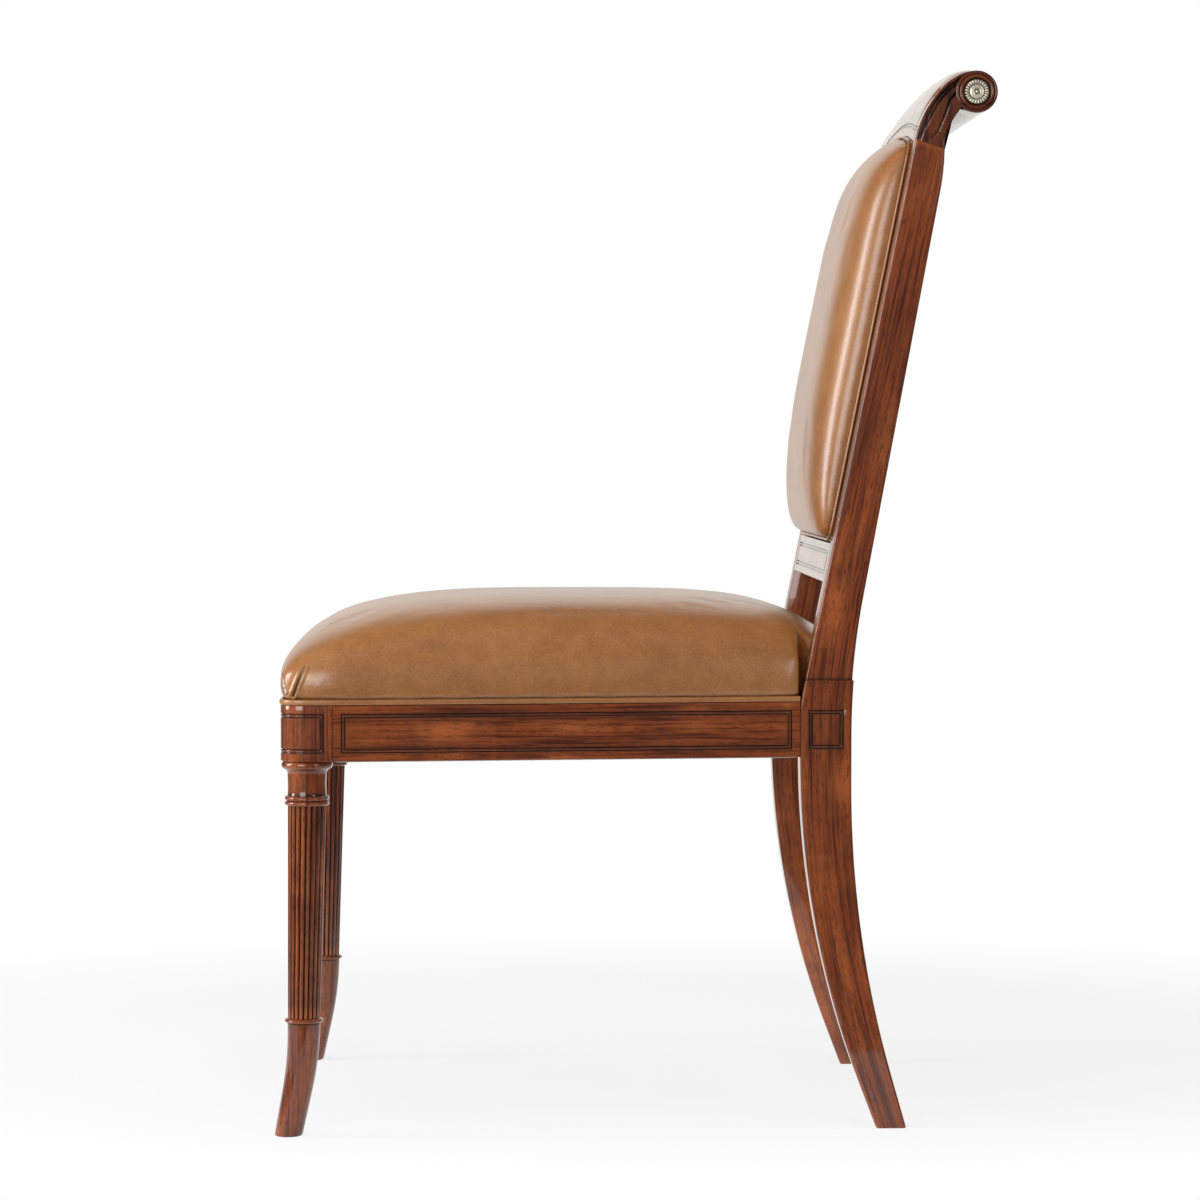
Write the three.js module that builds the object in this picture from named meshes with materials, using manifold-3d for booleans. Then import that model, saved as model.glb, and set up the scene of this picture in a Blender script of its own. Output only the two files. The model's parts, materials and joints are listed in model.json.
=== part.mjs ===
// A klismos dining chair: reeded front legs, sabre rear legs, a rolled crest rail and leather upholstery.
// Lengths are millimetres. Z is up, the chair faces -Y, and the sitter's left is towards +X.
import * as THREE from "three";
import { mergeVertices } from "three/addons/utils/BufferGeometryUtils.js";
import Module from "manifold-3d";

// Driving dimensions of the whole chair
const frontLegSpacing = 470; // between the axes of the front legs
const rearWidth = 424; // over the outer faces of the rear stiles
const frontLegAxisY = -302.4;
const rearBlockFrontY = 151.2;
const seatRailBottom = 345;
const seatRailHeight = 51.2;
const backPadRise = 372; // height of the back pad at the posts
const backPadArch = 14; // rise of the pad's top edge in the middle
const clearance = 0.3; // between pieces that touch
const overrun = 2; // how far a cutter reaches past the face it cuts
const weld = 1e-4; // points closer than this are one point

// Front legs
const frontBlockSize = 48;
const frontBlockCornerRadius = 22;
const collarRadius = 23.6;
const collarHeight = 7.6;
const cavettoHeight = 4.5;
const cavettoFlareShare = 0.2; // how far the cavetto's middle stands out, of its height
const drumRadius = 17.9;
const drumHeight = 20;
const ringRadius = 20.6;
const ringHeight = 4.6; // each of the two rings under the drum
const reedCount = 20;
const reedDepth = 1.7;
const shaftTopRadius = 17.7;
const shaftBottomRadius = 14.8;
const shaftLean = 3.4; // the shaft's foot stands this far forward of its top
const ankleHeight = 104; // where the reeded shaft stops
const ankleRingRadius = 17.8;
const ankleRingHeight = 4.7;
const frontFootTopRadius = 15.1;
const frontFootRadius = 13;
const frontFootCurveDrop = 62; // the arc of the sabre foot, before it runs straight
const frontFootSlope = 0.2;
const footEase = 2; // rounding of the foot's lower edge

// Rear stiles
const stileThickness = 32;
const stileBlockDepth = 47.6;
const stileBlockHeight = 70.5;
const stileShoulder = 1.3; // step from the block up to the raked post
const rearFootTaper = 6;
const legFrontCurveDrop = 305; // from the seat rails down
const legFrontSlope = 0.381;
const legRearCurveStart = 27; // below the seat rails
const legRearCurveDrop = 270;
const legRearSlope = 0.286;
const postFrontCurveSunk = 27; // its start below the block's top
const postFrontCurveRise = 10;
const postFrontSlope = 0.2017;
const postRearCurveSunk = 53; // its start below the block's top
const postRearCurveRise = 130;
const postRearSlope = 0.1846;
const postTopEaseDrop = 36.6; // the rear edge turns upright again over this height
const postTopEase = 3.2;
const stileRearEase = 3.4;
const stileFrontEase = 0.8;
const saddleDrop = 1.2; // the joint on top of the post below the back pad's top, at its front edge
const saddleTilt = 9.2; // the joint's rear edge below its front edge
const saddleRise = 2.4;

// Seat rails and their joints
const railThickness = 24;
const backRailThickness = 22;
const frontTenonLength = 18;
const rearTenonLength = 13;
const tenonThickness = 10;
const tenonShoulder = 8;
const panelInset = 7.5; // from the edge of a rail or block to its beaded frame
const quirkWidth = 0.8;
const beadRadius = 1.25;
const beadDepth = 1.2;
const beadSink = 0.1; // the bead's crown lies this far under the face
const stayRailRise = 90.5; // over the top of the rear block
const stayRailHeight = 36;
const stayRailThickness = 20;
const stayPanelInset = 7;

// Corner blocks and screws
const cornerBlockReach = 52;
const cornerBlockHeight = 36;
const screwRadius = 2.2;
const screwHeadRadius = 4.6;
const screwHeadHeight = 2.8;
const screwGrip = 9; // how far the screw bites into the leg

// Crest rail
const rollRadius = 19.4;
const rollSetback = 28.8; // the roll's axis behind the rear edge of the post's joint
const rollRise = 43.4; // the roll's axis over the front edge of that joint
const crestArch = 13.4; // rise of the crest in the middle of its length
const crestArchPower = 0.5;
const neckAngle = 226; // degrees, where the roll meets the rear face
const crestFrontHandleShares = [[0.11, 0.47], [0.53, 1]]; // of the way back and up to the roll's top
const crestRearHandleShares = [[0.67, 0.33], [1.15, 0.68]]; // of the way from the neck to the post
const crestLiftShare = 0.96; // of the front's height, above which it has its full rise
const earReachShares = [0.1, 0.94]; // where the carved reeds start and end along the ear
const earGrooveShares = [0.23, 0.41, 0.71]; // across the ear, from its front edge
const reedGrooveRadius = 1.5;
const reedGrooveBite = 1;
const voluteProud = 1.2;
const voluteGrooveInner = 15.7;
const voluteGrooveOuter = 17.3;
const voluteGrooveDepth = 1.6;
const rosetteRadius = 11.3;
const rosetteHeight = 3.4;
const rosetteProfileShares = [
  [1, 0], [1, 0.5], [0.93, 0.62], [0.84, 0.42], [0.36, 0.8], [0.3, 0.5], [0.22, 1], [0, 1],
]; // of the rosette's radius and height
const rosetteSeatDepth = 1.2;
const rosettePinRadius = 2;
const rosettePinLength = 9;
const dowelRadius = 5;
const dowelLength = 44;

// Seat upholstery
const weltHeight = 5.6;
const weltThickness = 3;
const weltProud = 0.6;
const seatPadProud = 1.6; // how far the leather stands out past the rails
const seatPadSide = 28; // upright part of the pad's side
const seatPadCrown = 65;
const foamCrownShare = 0.25; // how much of its inset an inner form's crown gives up
const leatherThickness = 2.6;
const seatCornerSoftness = 9; // how far the pad's corner is drawn in
const cornerPower = 9; // how suddenly a pad's corner is drawn in
const strapCount = 3; // each way, in the seat and in the back
const seatStrapPitch = 110;
const backStrapPitch = 92;
const strapWidth = 44;
const strapFlatShare = 1 / 3; // flat part on each side of a crossing, of the strap's width
const strapThickness = 1.8;
const strapWave = 1.4; // half the rise and fall of a strap where it crosses others
const dustCoverThickness = 0.8;
const dustCoverInset = 9;
const dustCoverLegGap = 3;

// Back upholstery
const backPadGap = 1; // over the stay rail
const backPadCrown = 41.1;
const backCornerSoftness = 9;
const backFrameThickness = 16;
const backFrameWidth = 38;
const backFrameSet = 4.5; // the inner frame's front behind the posts' front
const pipingRadius = 1.3;
const outsideBackCrown = 2.5;
const outsideBackThickness = 1.6;

// Values that follow from the driving dimensions
const seatRailTop = seatRailBottom + seatRailHeight;
const railMiddleZ = seatRailBottom + seatRailHeight / 2;
const legAxisX = frontLegSpacing / 2;
const blockHalf = frontBlockSize / 2;
const frontOuterX = legAxisX + blockHalf;
const frontFaceY = frontLegAxisY - blockHalf;
const frontBlockRearY = frontLegAxisY + blockHalf;
const rearOuterX = rearWidth / 2;
const rearInnerX = rearOuterX - stileThickness;
const rearBlockRearY = rearBlockFrontY + stileBlockDepth;
const blockTop = seatRailBottom + stileBlockHeight;
const legRearCurveTop = seatRailBottom - legRearCurveStart;
const postFrontCurveStart = blockTop - postFrontCurveSunk;
const postRearCurveStart = blockTop - postRearCurveSunk;
const stayRailBottom = blockTop + stayRailRise;
const backPadBottom = stayRailBottom + stayRailHeight + backPadGap;
const backPadTop = backPadBottom + backPadRise;
const weltTop = seatRailTop + weltHeight;
const rake = Math.atan(postFrontSlope);
const saddleFrontHeight = backPadTop - saddleDrop;
const saddleRearHeight = saddleFrontHeight - saddleTilt;

// Colours and finishes
const mahogany = { color: 0x6a3320, roughness: 0.32, metalness: 0 };
const beech = { color: 0xc9a77a, roughness: 0.7, metalness: 0 };
const leather = { color: 0xa9723f, roughness: 0.45, metalness: 0 };
const foam = { color: 0xd9cfae, roughness: 0.95, metalness: 0 };
const jute = { color: 0x9c8460, roughness: 0.95, metalness: 0 };
const cambric = { color: 0x1d1b1a, roughness: 0.95, metalness: 0 };
const brass = { color: 0xb08d4f, roughness: 0.3, metalness: 1 };
const steel = { color: 0x8d8a86, roughness: 0.35, metalness: 1 };

const wasm = await Module();
wasm.setup();

// Six times the signed volume that a triangle list encloses.
function windingOf(positions, faces) {
  const [a, b, c] = [new THREE.Vector3(), new THREE.Vector3(), new THREE.Vector3()];
  let sum = 0;
  for (let i = 0; i < faces.length; i += 3) {
    a.fromArray(positions, faces[i] * 3);
    b.fromArray(positions, faces[i + 1] * 3);
    c.fromArray(positions, faces[i + 2] * 3);
    sum += a.dot(b.cross(c));
  }
  return sum;
}

// A closed three.js geometry as a solid that can be joined and cut, facing outwards.
function solidOf(geometry) {
  const bare = geometry.clone();
  bare.deleteAttribute("normal");
  bare.deleteAttribute("uv");
  const merged = mergeVertices(bare, weld);
  const vertProperties = new Float32Array(merged.attributes.position.array);
  const triVerts = new Uint32Array(merged.index.array);
  if (windingOf(vertProperties, triVerts) < 0) triVerts.reverse();
  return new wasm.Manifold(new wasm.Mesh({ numProp: 3, vertProperties, triVerts }));
}

// A solid back as a geometry to draw.
function geometryOf(solid) {
  const { vertProperties, triVerts } = solid.getMesh();
  const geometry = new THREE.BufferGeometry();
  geometry.setAttribute("position", new THREE.BufferAttribute(vertProperties, 3));
  geometry.setIndex(new THREE.BufferAttribute(triVerts, 1));
  geometry.computeVertexNormals();
  return geometry;
}

// A surface from a list of points and a list of index triples.
function surface(points, faces) {
  const geometry = new THREE.BufferGeometry().setFromPoints(points);
  geometry.setIndex(faces);
  return solidOf(geometry);
}

// Rings of equal count joined one to the next, with a fan over each end.
function loft(rings) {
  const count = rings[0].length;
  const points = rings.flat();
  const faces = [];
  for (let r = 0; r + 1 < rings.length; r++)
    for (let i = 0; i < count; i++) {
      const [a, b] = [r * count + i, r * count + ((i + 1) % count)];
      faces.push(a, b, a + count, b, b + count, a + count);
    }
  for (const [r, forward] of [[0, false], [rings.length - 1, true]]) {
    const middle = rings[r].reduce((sum, p) => sum.add(p), new THREE.Vector3()).divideScalar(count);
    const hub = points.push(middle) - 1;
    for (let i = 0; i < count; i++) {
      const [a, b] = [r * count + i, r * count + ((i + 1) % count)];
      faces.push(...(forward ? [a, b, hub] : [b, a, hub]));
    }
  }
  return surface(points, faces);
}

// Rings of equal count joined one to the next, and the last to the first.
function closedTube(rings) {
  const count = rings[0].length;
  const faces = [];
  rings.forEach((ring, r) => {
    const next = (r + 1) % rings.length;
    for (let i = 0; i < count; i++) {
      const j = (i + 1) % count;
      faces.push(r * count + i, r * count + j, next * count + i);
      faces.push(r * count + j, next * count + j, next * count + i);
    }
  });
  return surface(rings.flat(), faces);
}

// A box from its lowest to its highest corner.
function box(x0, y0, z0, x1, y1, z1) {
  const geometry = new THREE.BoxGeometry(x1 - x0, y1 - y0, z1 - z0);
  return solidOf(geometry.translate((x0 + x1) / 2, (y0 + y1) / 2, (z0 + z1) / 2));
}

// A plan outline, given as [x, y] pairs, raised from one height to another.
function prism(plan, low, high) {
  const outline = new THREE.Shape(plan.map(([x, y]) => new THREE.Vector2(x, y)));
  const geometry = new THREE.ExtrudeGeometry(outline, { depth: high - low, bevelEnabled: false });
  return solidOf(geometry.translate(0, 0, low));
}

// A turned solid about the upright line through x and y, from [radius, height] pairs.
function turned(profile, segments, x, y) {
  const points = profile.map(([radius, height]) => new THREE.Vector2(radius, height));
  const geometry = new THREE.LatheGeometry(points, segments);
  return solidOf(geometry.rotateX(Math.PI / 2).translate(x, y, 0));
}

// A round bar between two points.
function bar(from, to, radius, sides) {
  const axis = new THREE.Vector3().subVectors(to, from);
  const geometry = new THREE.CylinderGeometry(radius, radius, axis.length(), sides);
  const along = axis.clone().normalize();
  geometry.applyQuaternion(new THREE.Quaternion().setFromUnitVectors(new THREE.Vector3(0, 1, 0), along));
  const middle = new THREE.Vector3().addVectors(from, to).multiplyScalar(0.5);
  return solidOf(geometry.translate(middle.x, middle.y, middle.z));
}

// How far an edge has swept sideways after a given fall: an arc that starts upright, then its tangent.
function swept(fall, arcFall, slope) {
  const angle = Math.atan(slope);
  const radius = arcFall / Math.sin(angle);
  if (fall <= 0) return 0;
  if (fall >= arcFall) return radius * (1 - Math.cos(angle)) + (fall - arcFall) * slope;
  return radius - Math.sqrt(radius * radius - fall * fall);
}

// The section of a quirked bead as [inset, depth] pairs: two grooves with a half round between them.
function beadSection() {
  const width = 2 * (quirkWidth + beadRadius);
  const steps = 4;
  const crown = Array.from({ length: steps - 1 }, (_, i) => {
    const angle = (Math.PI * (i + 1)) / steps;
    return [quirkWidth + beadRadius * (1 - Math.cos(angle)), beadDepth * (Math.sin(angle) - 1) - beadSink];
  });
  return [[0, overrun], [0, -beadDepth], [quirkWidth, -beadDepth], ...crown,
    [width - quirkWidth, -beadDepth], [width, -beadDepth], [width, overrun]];
}

// A cutter for a beaded frame on an upright face. The face is a run of { point, normal } in plan.
function beadFrame(face, low, high) {
  const last = face.length - 1;
  const towards = (from, to, distance) => {
    const step = new THREE.Vector2().subVectors(to, from).setLength(distance);
    return new THREE.Vector2().addVectors(from, step);
  };
  const rings = beadSection().map(([inset, depth]) => {
    const row = face.map(({ point, normal }, i) => {
      let place = point;
      if (i === 0) place = towards(point, face[1].point, inset);
      if (i === last) place = towards(point, face[last - 1].point, inset);
      return new THREE.Vector2(place.x + normal.x * depth, place.y + normal.y * depth);
    });
    const bottom = row.map((p) => new THREE.Vector3(p.x, p.y, low + inset));
    const top = row.map((p) => new THREE.Vector3(p.x, p.y, high - inset)).reverse();
    return [...bottom, ...top];
  });
  return closedTube(rings);
}

// A flat face in plan between two [x, y] ends, for beadFrame, with the outward normal on the right hand.
function flatFace([x0, y0], [x1, y1]) {
  const normal = new THREE.Vector2(y1 - y0, x0 - x1).normalize();
  return [[x0, y0], [x1, y1]].map(([x, y]) => ({ point: new THREE.Vector2(x, y), normal }));
}

// The tenon pockets and tenons share these boxes; a pocket is the same box grown by the clearance.
function tenon(x0, y0, x1, y1, grow) {
  const low = seatRailBottom + tenonShoulder - grow;
  const high = seatRailTop - tenonShoulder + grow;
  return box(x0 - grow, y0 - grow, low, x1 + grow, y1 + grow, high);
}

const frontTenonX = frontOuterX - railThickness / 2;
const rearTenonX = rearOuterX - railThickness / 2;
const frontRailMiddleY = frontFaceY + railThickness / 2;
const backRailMiddleY = rearBlockRearY - backRailThickness / 2;

function sideTenonFront(grow) {
  return tenon(frontTenonX - tenonThickness / 2, frontBlockRearY - frontTenonLength,
    frontTenonX + tenonThickness / 2, frontBlockRearY + overrun, grow);
}

function sideTenonRear(grow) {
  return tenon(rearTenonX - tenonThickness / 2, rearBlockFrontY - overrun,
    rearTenonX + tenonThickness / 2, rearBlockFrontY + rearTenonLength, grow);
}

function frontRailTenon(grow) {
  const inner = legAxisX - blockHalf;
  return tenon(inner - overrun, frontRailMiddleY - tenonThickness / 2,
    inner + frontTenonLength, frontRailMiddleY + tenonThickness / 2, grow);
}

function backRailTenon(grow) {
  return tenon(rearInnerX - overrun, backRailMiddleY - tenonThickness / 2,
    rearInnerX + rearTenonLength, backRailMiddleY + tenonThickness / 2, grow);
}

// The front and rear edges of a rear stile at a height.
function stileFront(z) {
  return rearBlockFrontY + swept(seatRailBottom - z, legFrontCurveDrop, legFrontSlope)
    + swept(z - postFrontCurveStart, postFrontCurveRise, postFrontSlope);
}

function stileRear(z) {
  const nearTop = THREE.MathUtils.clamp((z - saddleRearHeight) / postTopEaseDrop + 1, 0, 1);
  return rearBlockRearY + swept(legRearCurveTop - z, legRearCurveDrop, legRearSlope)
    + swept(z - postRearCurveStart, postRearCurveRise, postRearSlope) - postTopEase * nearTop * nearTop;
}

const rollCentreY = stileRear(saddleRearHeight) + rollSetback;
const rollCentreZ = saddleFrontHeight + rollRise;

// The plane of the posts' front faces: x along the back, v up the rake, w out towards the sitter.
function backPlane(x, v, w) {
  const base = backPadBottom;
  const y = stileFront(base) + v * Math.sin(rake) - w * Math.cos(rake);
  return new THREE.Vector3(x, y, base + v * Math.cos(rake) + w * Math.sin(rake));
}
const backPlaneMatrix = new THREE.Matrix4().makeBasis(
  new THREE.Vector3(1, 0, 0),
  new THREE.Vector3(0, Math.sin(rake), Math.cos(rake)),
  new THREE.Vector3(0, -Math.cos(rake), Math.sin(rake)),
).setPosition(backPlane(0, 0, 0));
const backPadHeight = (backPadTop - backPadBottom) / Math.cos(rake);

// How far up the rake the back pad's top edge reaches at a place across the back.
function backTopAt(x) {
  const share = Math.min(Math.abs(x) / rearInnerX, 1);
  return backPadHeight + (backPadArch * (1 - share * share)) / Math.cos(rake);
}

// A board across the back whose top edge follows the pad's arch.
function archedBoard(half, v0, beyondTop, w0, w1) {
  const steps = 8;
  const rings = Array.from({ length: steps + 1 }, (_, i) => {
    const x = half * (2 * i / steps - 1);
    const top = backTopAt(x) + beyondTop;
    return [backPlane(x, v0, w0), backPlane(x, top, w0), backPlane(x, top, w1), backPlane(x, v0, w1)];
  });
  return loft(rings);
}

// A box in the plane of the back.
function rakedBox(x0, v0, w0, x1, v1, w1) {
  const geometry = new THREE.BoxGeometry(x1 - x0, v1 - v0, w1 - w0);
  geometry.translate((x0 + x1) / 2, (v0 + v1) / 2, (w0 + w1) / 2).applyMatrix4(backPlaneMatrix);
  return solidOf(geometry);
}

// The circle of the saddle joint on the post's top, in the side view.
const saddle = (() => {
  const front = new THREE.Vector2(stileFront(saddleFrontHeight), saddleFrontHeight);
  const rear = new THREE.Vector2(stileRear(saddleRearHeight), saddleRearHeight);
  const half = front.distanceTo(rear) / 2;
  const radius = (half * half + saddleRise * saddleRise) / (2 * saddleRise);
  const along = new THREE.Vector2().subVectors(rear, front).normalize();
  const up = new THREE.Vector2(-along.y, along.x);
  const centre = new THREE.Vector2().addVectors(front, rear).multiplyScalar(0.5);
  centre.addScaledVector(up, saddleRise - radius);
  return { centre, radius, front, rear };
})();

// The saddle's cylinder across one post, grown by a gap.
function saddleCylinder(x0, x1, grow) {
  const from = new THREE.Vector3(x0, saddle.centre.x, saddle.centre.y);
  const to = new THREE.Vector3(x1, saddle.centre.x, saddle.centre.y);
  const sides = 72;
  return bar(from, to, saddle.radius + grow, sides);
}

// The dowel between post and crest runs along the post.
const dowelMiddle = (() => {
  const y = (saddle.front.x + saddle.rear.x) / 2;
  const z = (saddle.front.y + saddle.rear.y) / 2;
  return new THREE.Vector3(rearOuterX - stileThickness / 2, y, z);
})();

function dowel(grow) {
  const reach = new THREE.Vector3(0, Math.sin(rake), Math.cos(rake)).setLength(dowelLength / 2 + grow);
  const sides = 12;
  return bar(dowelMiddle.clone().sub(reach), dowelMiddle.clone().add(reach), dowelRadius + grow, sides);
}

// The corner screws run level, from the middle of each corner block's long face into the leg's inner corner.
function cornerScrewLine(front) {
  const cornerX = front ? legAxisX - blockHalf : rearInnerX;
  const cornerY = front ? frontBlockRearY : rearBlockFrontY;
  const corner = new THREE.Vector3(cornerX, cornerY, railMiddleZ);
  const inward = new THREE.Vector3(-1, front ? 1 : -1, 0).normalize();
  return { corner, inward };
}

// How far out a side rail's outer face lies at a place along it.
function sideRailOuterX(y) {
  const share = (y - frontBlockRearY) / (rearBlockFrontY - frontBlockRearY);
  return THREE.MathUtils.lerp(frontOuterX, rearOuterX, share);
}

// The corner block's plan, wrapped round the leg's inner corner.
function cornerBlockPlan(front) {
  const { corner } = cornerScrewLine(front);
  const way = front ? 1 : -1;
  const railInnerY = front ? frontFaceY + railThickness : rearBlockRearY - backRailThickness;
  const besideY = corner.y + way * clearance;
  const farY = corner.y + way * cornerBlockReach;
  const railX = (y) => sideRailOuterX(y) - railThickness - clearance;
  const crossY = railInnerY + way * clearance;
  return [
    [corner.x - clearance, crossY],
    [corner.x - clearance, besideY],
    [railX(besideY), besideY],
    [railX(farY), farY],
    [corner.x - cornerBlockReach, crossY],
  ];
}

// The long face of a corner block: where the screw's head seats.
function screwSeat(front) {
  const plan = cornerBlockPlan(front);
  const [a, b] = [plan[3], plan[4]];
  const { corner, inward } = cornerScrewLine(front);
  const normal = new THREE.Vector2(b[1] - a[1], a[0] - b[0]).normalize();
  const toFace = new THREE.Vector2(a[0] - corner.x, a[1] - corner.y).dot(normal);
  const rate = new THREE.Vector2(inward.x, inward.y).dot(normal);
  return corner.clone().addScaledVector(inward, toFace / rate);
}

function cornerScrewHole(front) {
  const { corner, inward } = cornerScrewLine(front);
  const from = corner.clone().addScaledVector(inward, -screwGrip - clearance);
  const to = screwSeat(front).addScaledVector(inward, overrun);
  const sides = 8;
  return bar(from, to, screwRadius + clearance, sides);
}

function cornerBlock(front) {
  const low = railMiddleZ - cornerBlockHeight / 2;
  const block = prism(cornerBlockPlan(front), low, low + cornerBlockHeight);
  return block.subtract(cornerScrewHole(front));
}

function cornerScrew(front) {
  const { corner, inward } = cornerScrewLine(front);
  const seat = screwSeat(front).addScaledVector(inward, screwRadius + clearance);
  const tip = corner.clone().addScaledVector(inward, -screwGrip);
  const crown = seat.clone().addScaledVector(inward, screwHeadHeight);
  const sides = 6;
  const headSides = 10;
  return bar(tip, crown, screwRadius, sides).add(bar(seat, crown, screwHeadRadius, headSides));
}

// Points of a half-round moulding on a turned profile, from a higher edge to a lower one.
function roundMoulding(rootRadius, outerRadius, high, low) {
  const steps = 4;
  return Array.from({ length: steps + 1 }, (_, i) => {
    const angle = (Math.PI * i) / steps;
    const radius = rootRadius + (outerRadius - rootRadius) * Math.sin(angle);
    return [radius, (high + low) / 2 + ((high - low) / 2) * Math.cos(angle)];
  });
}

// The rounded outer corner of the front block, as { point, normal } in plan, and the faces beside it.
function frontBlockFace() {
  const centre = new THREE.Vector2(frontOuterX - frontBlockCornerRadius, frontFaceY + frontBlockCornerRadius);
  const steps = 6;
  const corner = Array.from({ length: steps + 1 }, (_, i) => {
    const angle = (-Math.PI / 2) * (1 - i / steps);
    const normal = new THREE.Vector2(Math.cos(angle), Math.sin(angle));
    return { point: centre.clone().addScaledVector(normal, frontBlockCornerRadius), normal };
  });
  const innerX = legAxisX - blockHalf + panelInset;
  const start = { point: new THREE.Vector2(innerX, frontFaceY), normal: new THREE.Vector2(0, -1) };
  const end = {
    point: new THREE.Vector2(frontOuterX, frontBlockRearY - panelInset),
    normal: new THREE.Vector2(1, 0),
  };
  return [start, ...corner, end];
}

function frontBlock() {
  const outer = frontBlockFace().slice(1, -1).map(({ point }) => [point.x, point.y]);
  const innerX = legAxisX - blockHalf;
  const plan = [[innerX, frontBlockRearY], [innerX, frontFaceY], ...outer, [frontOuterX, frontBlockRearY]];
  return prism(plan, seatRailBottom, seatRailTop)
    .subtract(beadFrame(frontBlockFace(), seatRailBottom + panelInset, seatRailTop - panelInset))
    .subtract(sideTenonFront(clearance))
    .subtract(frontRailTenon(clearance))
    .subtract(cornerScrewHole(true));
}

// The turning between the block and the reeded shaft: collar, cavetto, drum and a pair of rings.
function frontCapital() {
  const collarLow = seatRailBottom - collarHeight;
  const drumHigh = collarLow - cavettoHeight;
  const drumLow = drumHigh - drumHeight;
  const between = drumLow - ringHeight;
  const ringsLow = between - ringHeight;
  const innerRadius = (drumRadius + collarRadius) / 2;
  const profile = [
    [0, seatRailBottom + overrun],
    [innerRadius, seatRailBottom + overrun],
    ...roundMoulding(innerRadius, collarRadius, seatRailBottom, collarLow),
    [drumRadius + cavettoHeight * cavettoFlareShare, collarLow - cavettoHeight / 2],
    [drumRadius, drumHigh],
    ...roundMoulding(drumRadius, ringRadius, drumLow, between),
    ...roundMoulding(drumRadius, ringRadius, between, ringsLow).slice(1),
    [0, ringsLow],
  ];
  const segments = 24;
  return turned(profile, segments, legAxisX, frontLegAxisY);
}
const capitalBottom = seatRailBottom - collarHeight - cavettoHeight - drumHeight - 2 * ringHeight;

// One level ring of the reeded shaft.
function reededRing(radius, y, z) {
  const facets = 4;
  return Array.from({ length: reedCount * facets }, (_, i) => {
    const angle = (2 * Math.PI * i) / (reedCount * facets);
    const hollow = reedDepth * (1 - Math.sin((Math.PI * (i % facets)) / facets));
    const reach = radius - hollow;
    return new THREE.Vector3(legAxisX + reach * Math.cos(angle), y + reach * Math.sin(angle), z);
  });
}

const ankleY = frontLegAxisY - shaftLean;

function reededShaft() {
  const bottom = reededRing(shaftBottomRadius, ankleY, ankleHeight + ankleRingHeight / 2);
  const top = reededRing(shaftTopRadius, frontLegAxisY, capitalBottom + ringHeight / 2);
  return loft([bottom, top]);
}

// The smooth foot below the ankle ring, curving forward to the floor.
function frontFoot() {
  const steps = 6;
  const sides = 20;
  const top = ankleHeight + ankleRingHeight / 2;
  const levels = Array.from({ length: steps }, (_, i) => top + ((footEase - top) * i) / (steps - 1));
  const ring = (z, radius) => Array.from({ length: sides }, (_, i) => {
    const angle = (2 * Math.PI * i) / sides;
    const y = ankleY - swept(ankleHeight - z, frontFootCurveDrop, frontFootSlope);
    return new THREE.Vector3(legAxisX + radius * Math.cos(angle), y + radius * Math.sin(angle), z);
  });
  const radiusAt = (z) => THREE.MathUtils.lerp(frontFootRadius, frontFootTopRadius, z / top);
  const rings = levels.map((z) => ring(z, radiusAt(z)));
  rings.push(ring(0, frontFootRadius - footEase));
  return loft(rings);
}

function ankleRing() {
  const low = ankleHeight;
  const high = ankleHeight + ankleRingHeight;
  const moulding = roundMoulding(shaftBottomRadius - reedDepth, ankleRingRadius, high, low);
  const segments = 20;
  return turned([[0, high], ...moulding, [0, low]], segments, legAxisX, ankleY);
}

function frontLeg() {
  return frontBlock().add(frontCapital()).add(reededShaft()).add(ankleRing()).add(frontFoot());
}

// One level section of a rear stile, its rear edges rounded and its front edges eased.
function stileRing(z, front, rear, inner, outer) {
  const steps = 3;
  const rearCorner = (x, way) => Array.from({ length: steps + 1 }, (_, i) => {
    const angle = (Math.PI / 2) * (i / steps);
    const inset = stileRearEase * (1 - Math.cos(angle));
    return [x - way * inset, rear - stileRearEase * (1 - Math.sin(angle))];
  });
  const section = [
    [inner, front + stileFrontEase],
    [inner + stileFrontEase, front],
    [outer - stileFrontEase, front],
    [outer, front + stileFrontEase],
    ...rearCorner(outer, 1),
    ...rearCorner(inner, -1).reverse(),
  ];
  return section.map(([x, y]) => new THREE.Vector3(x, y, z));
}

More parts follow.
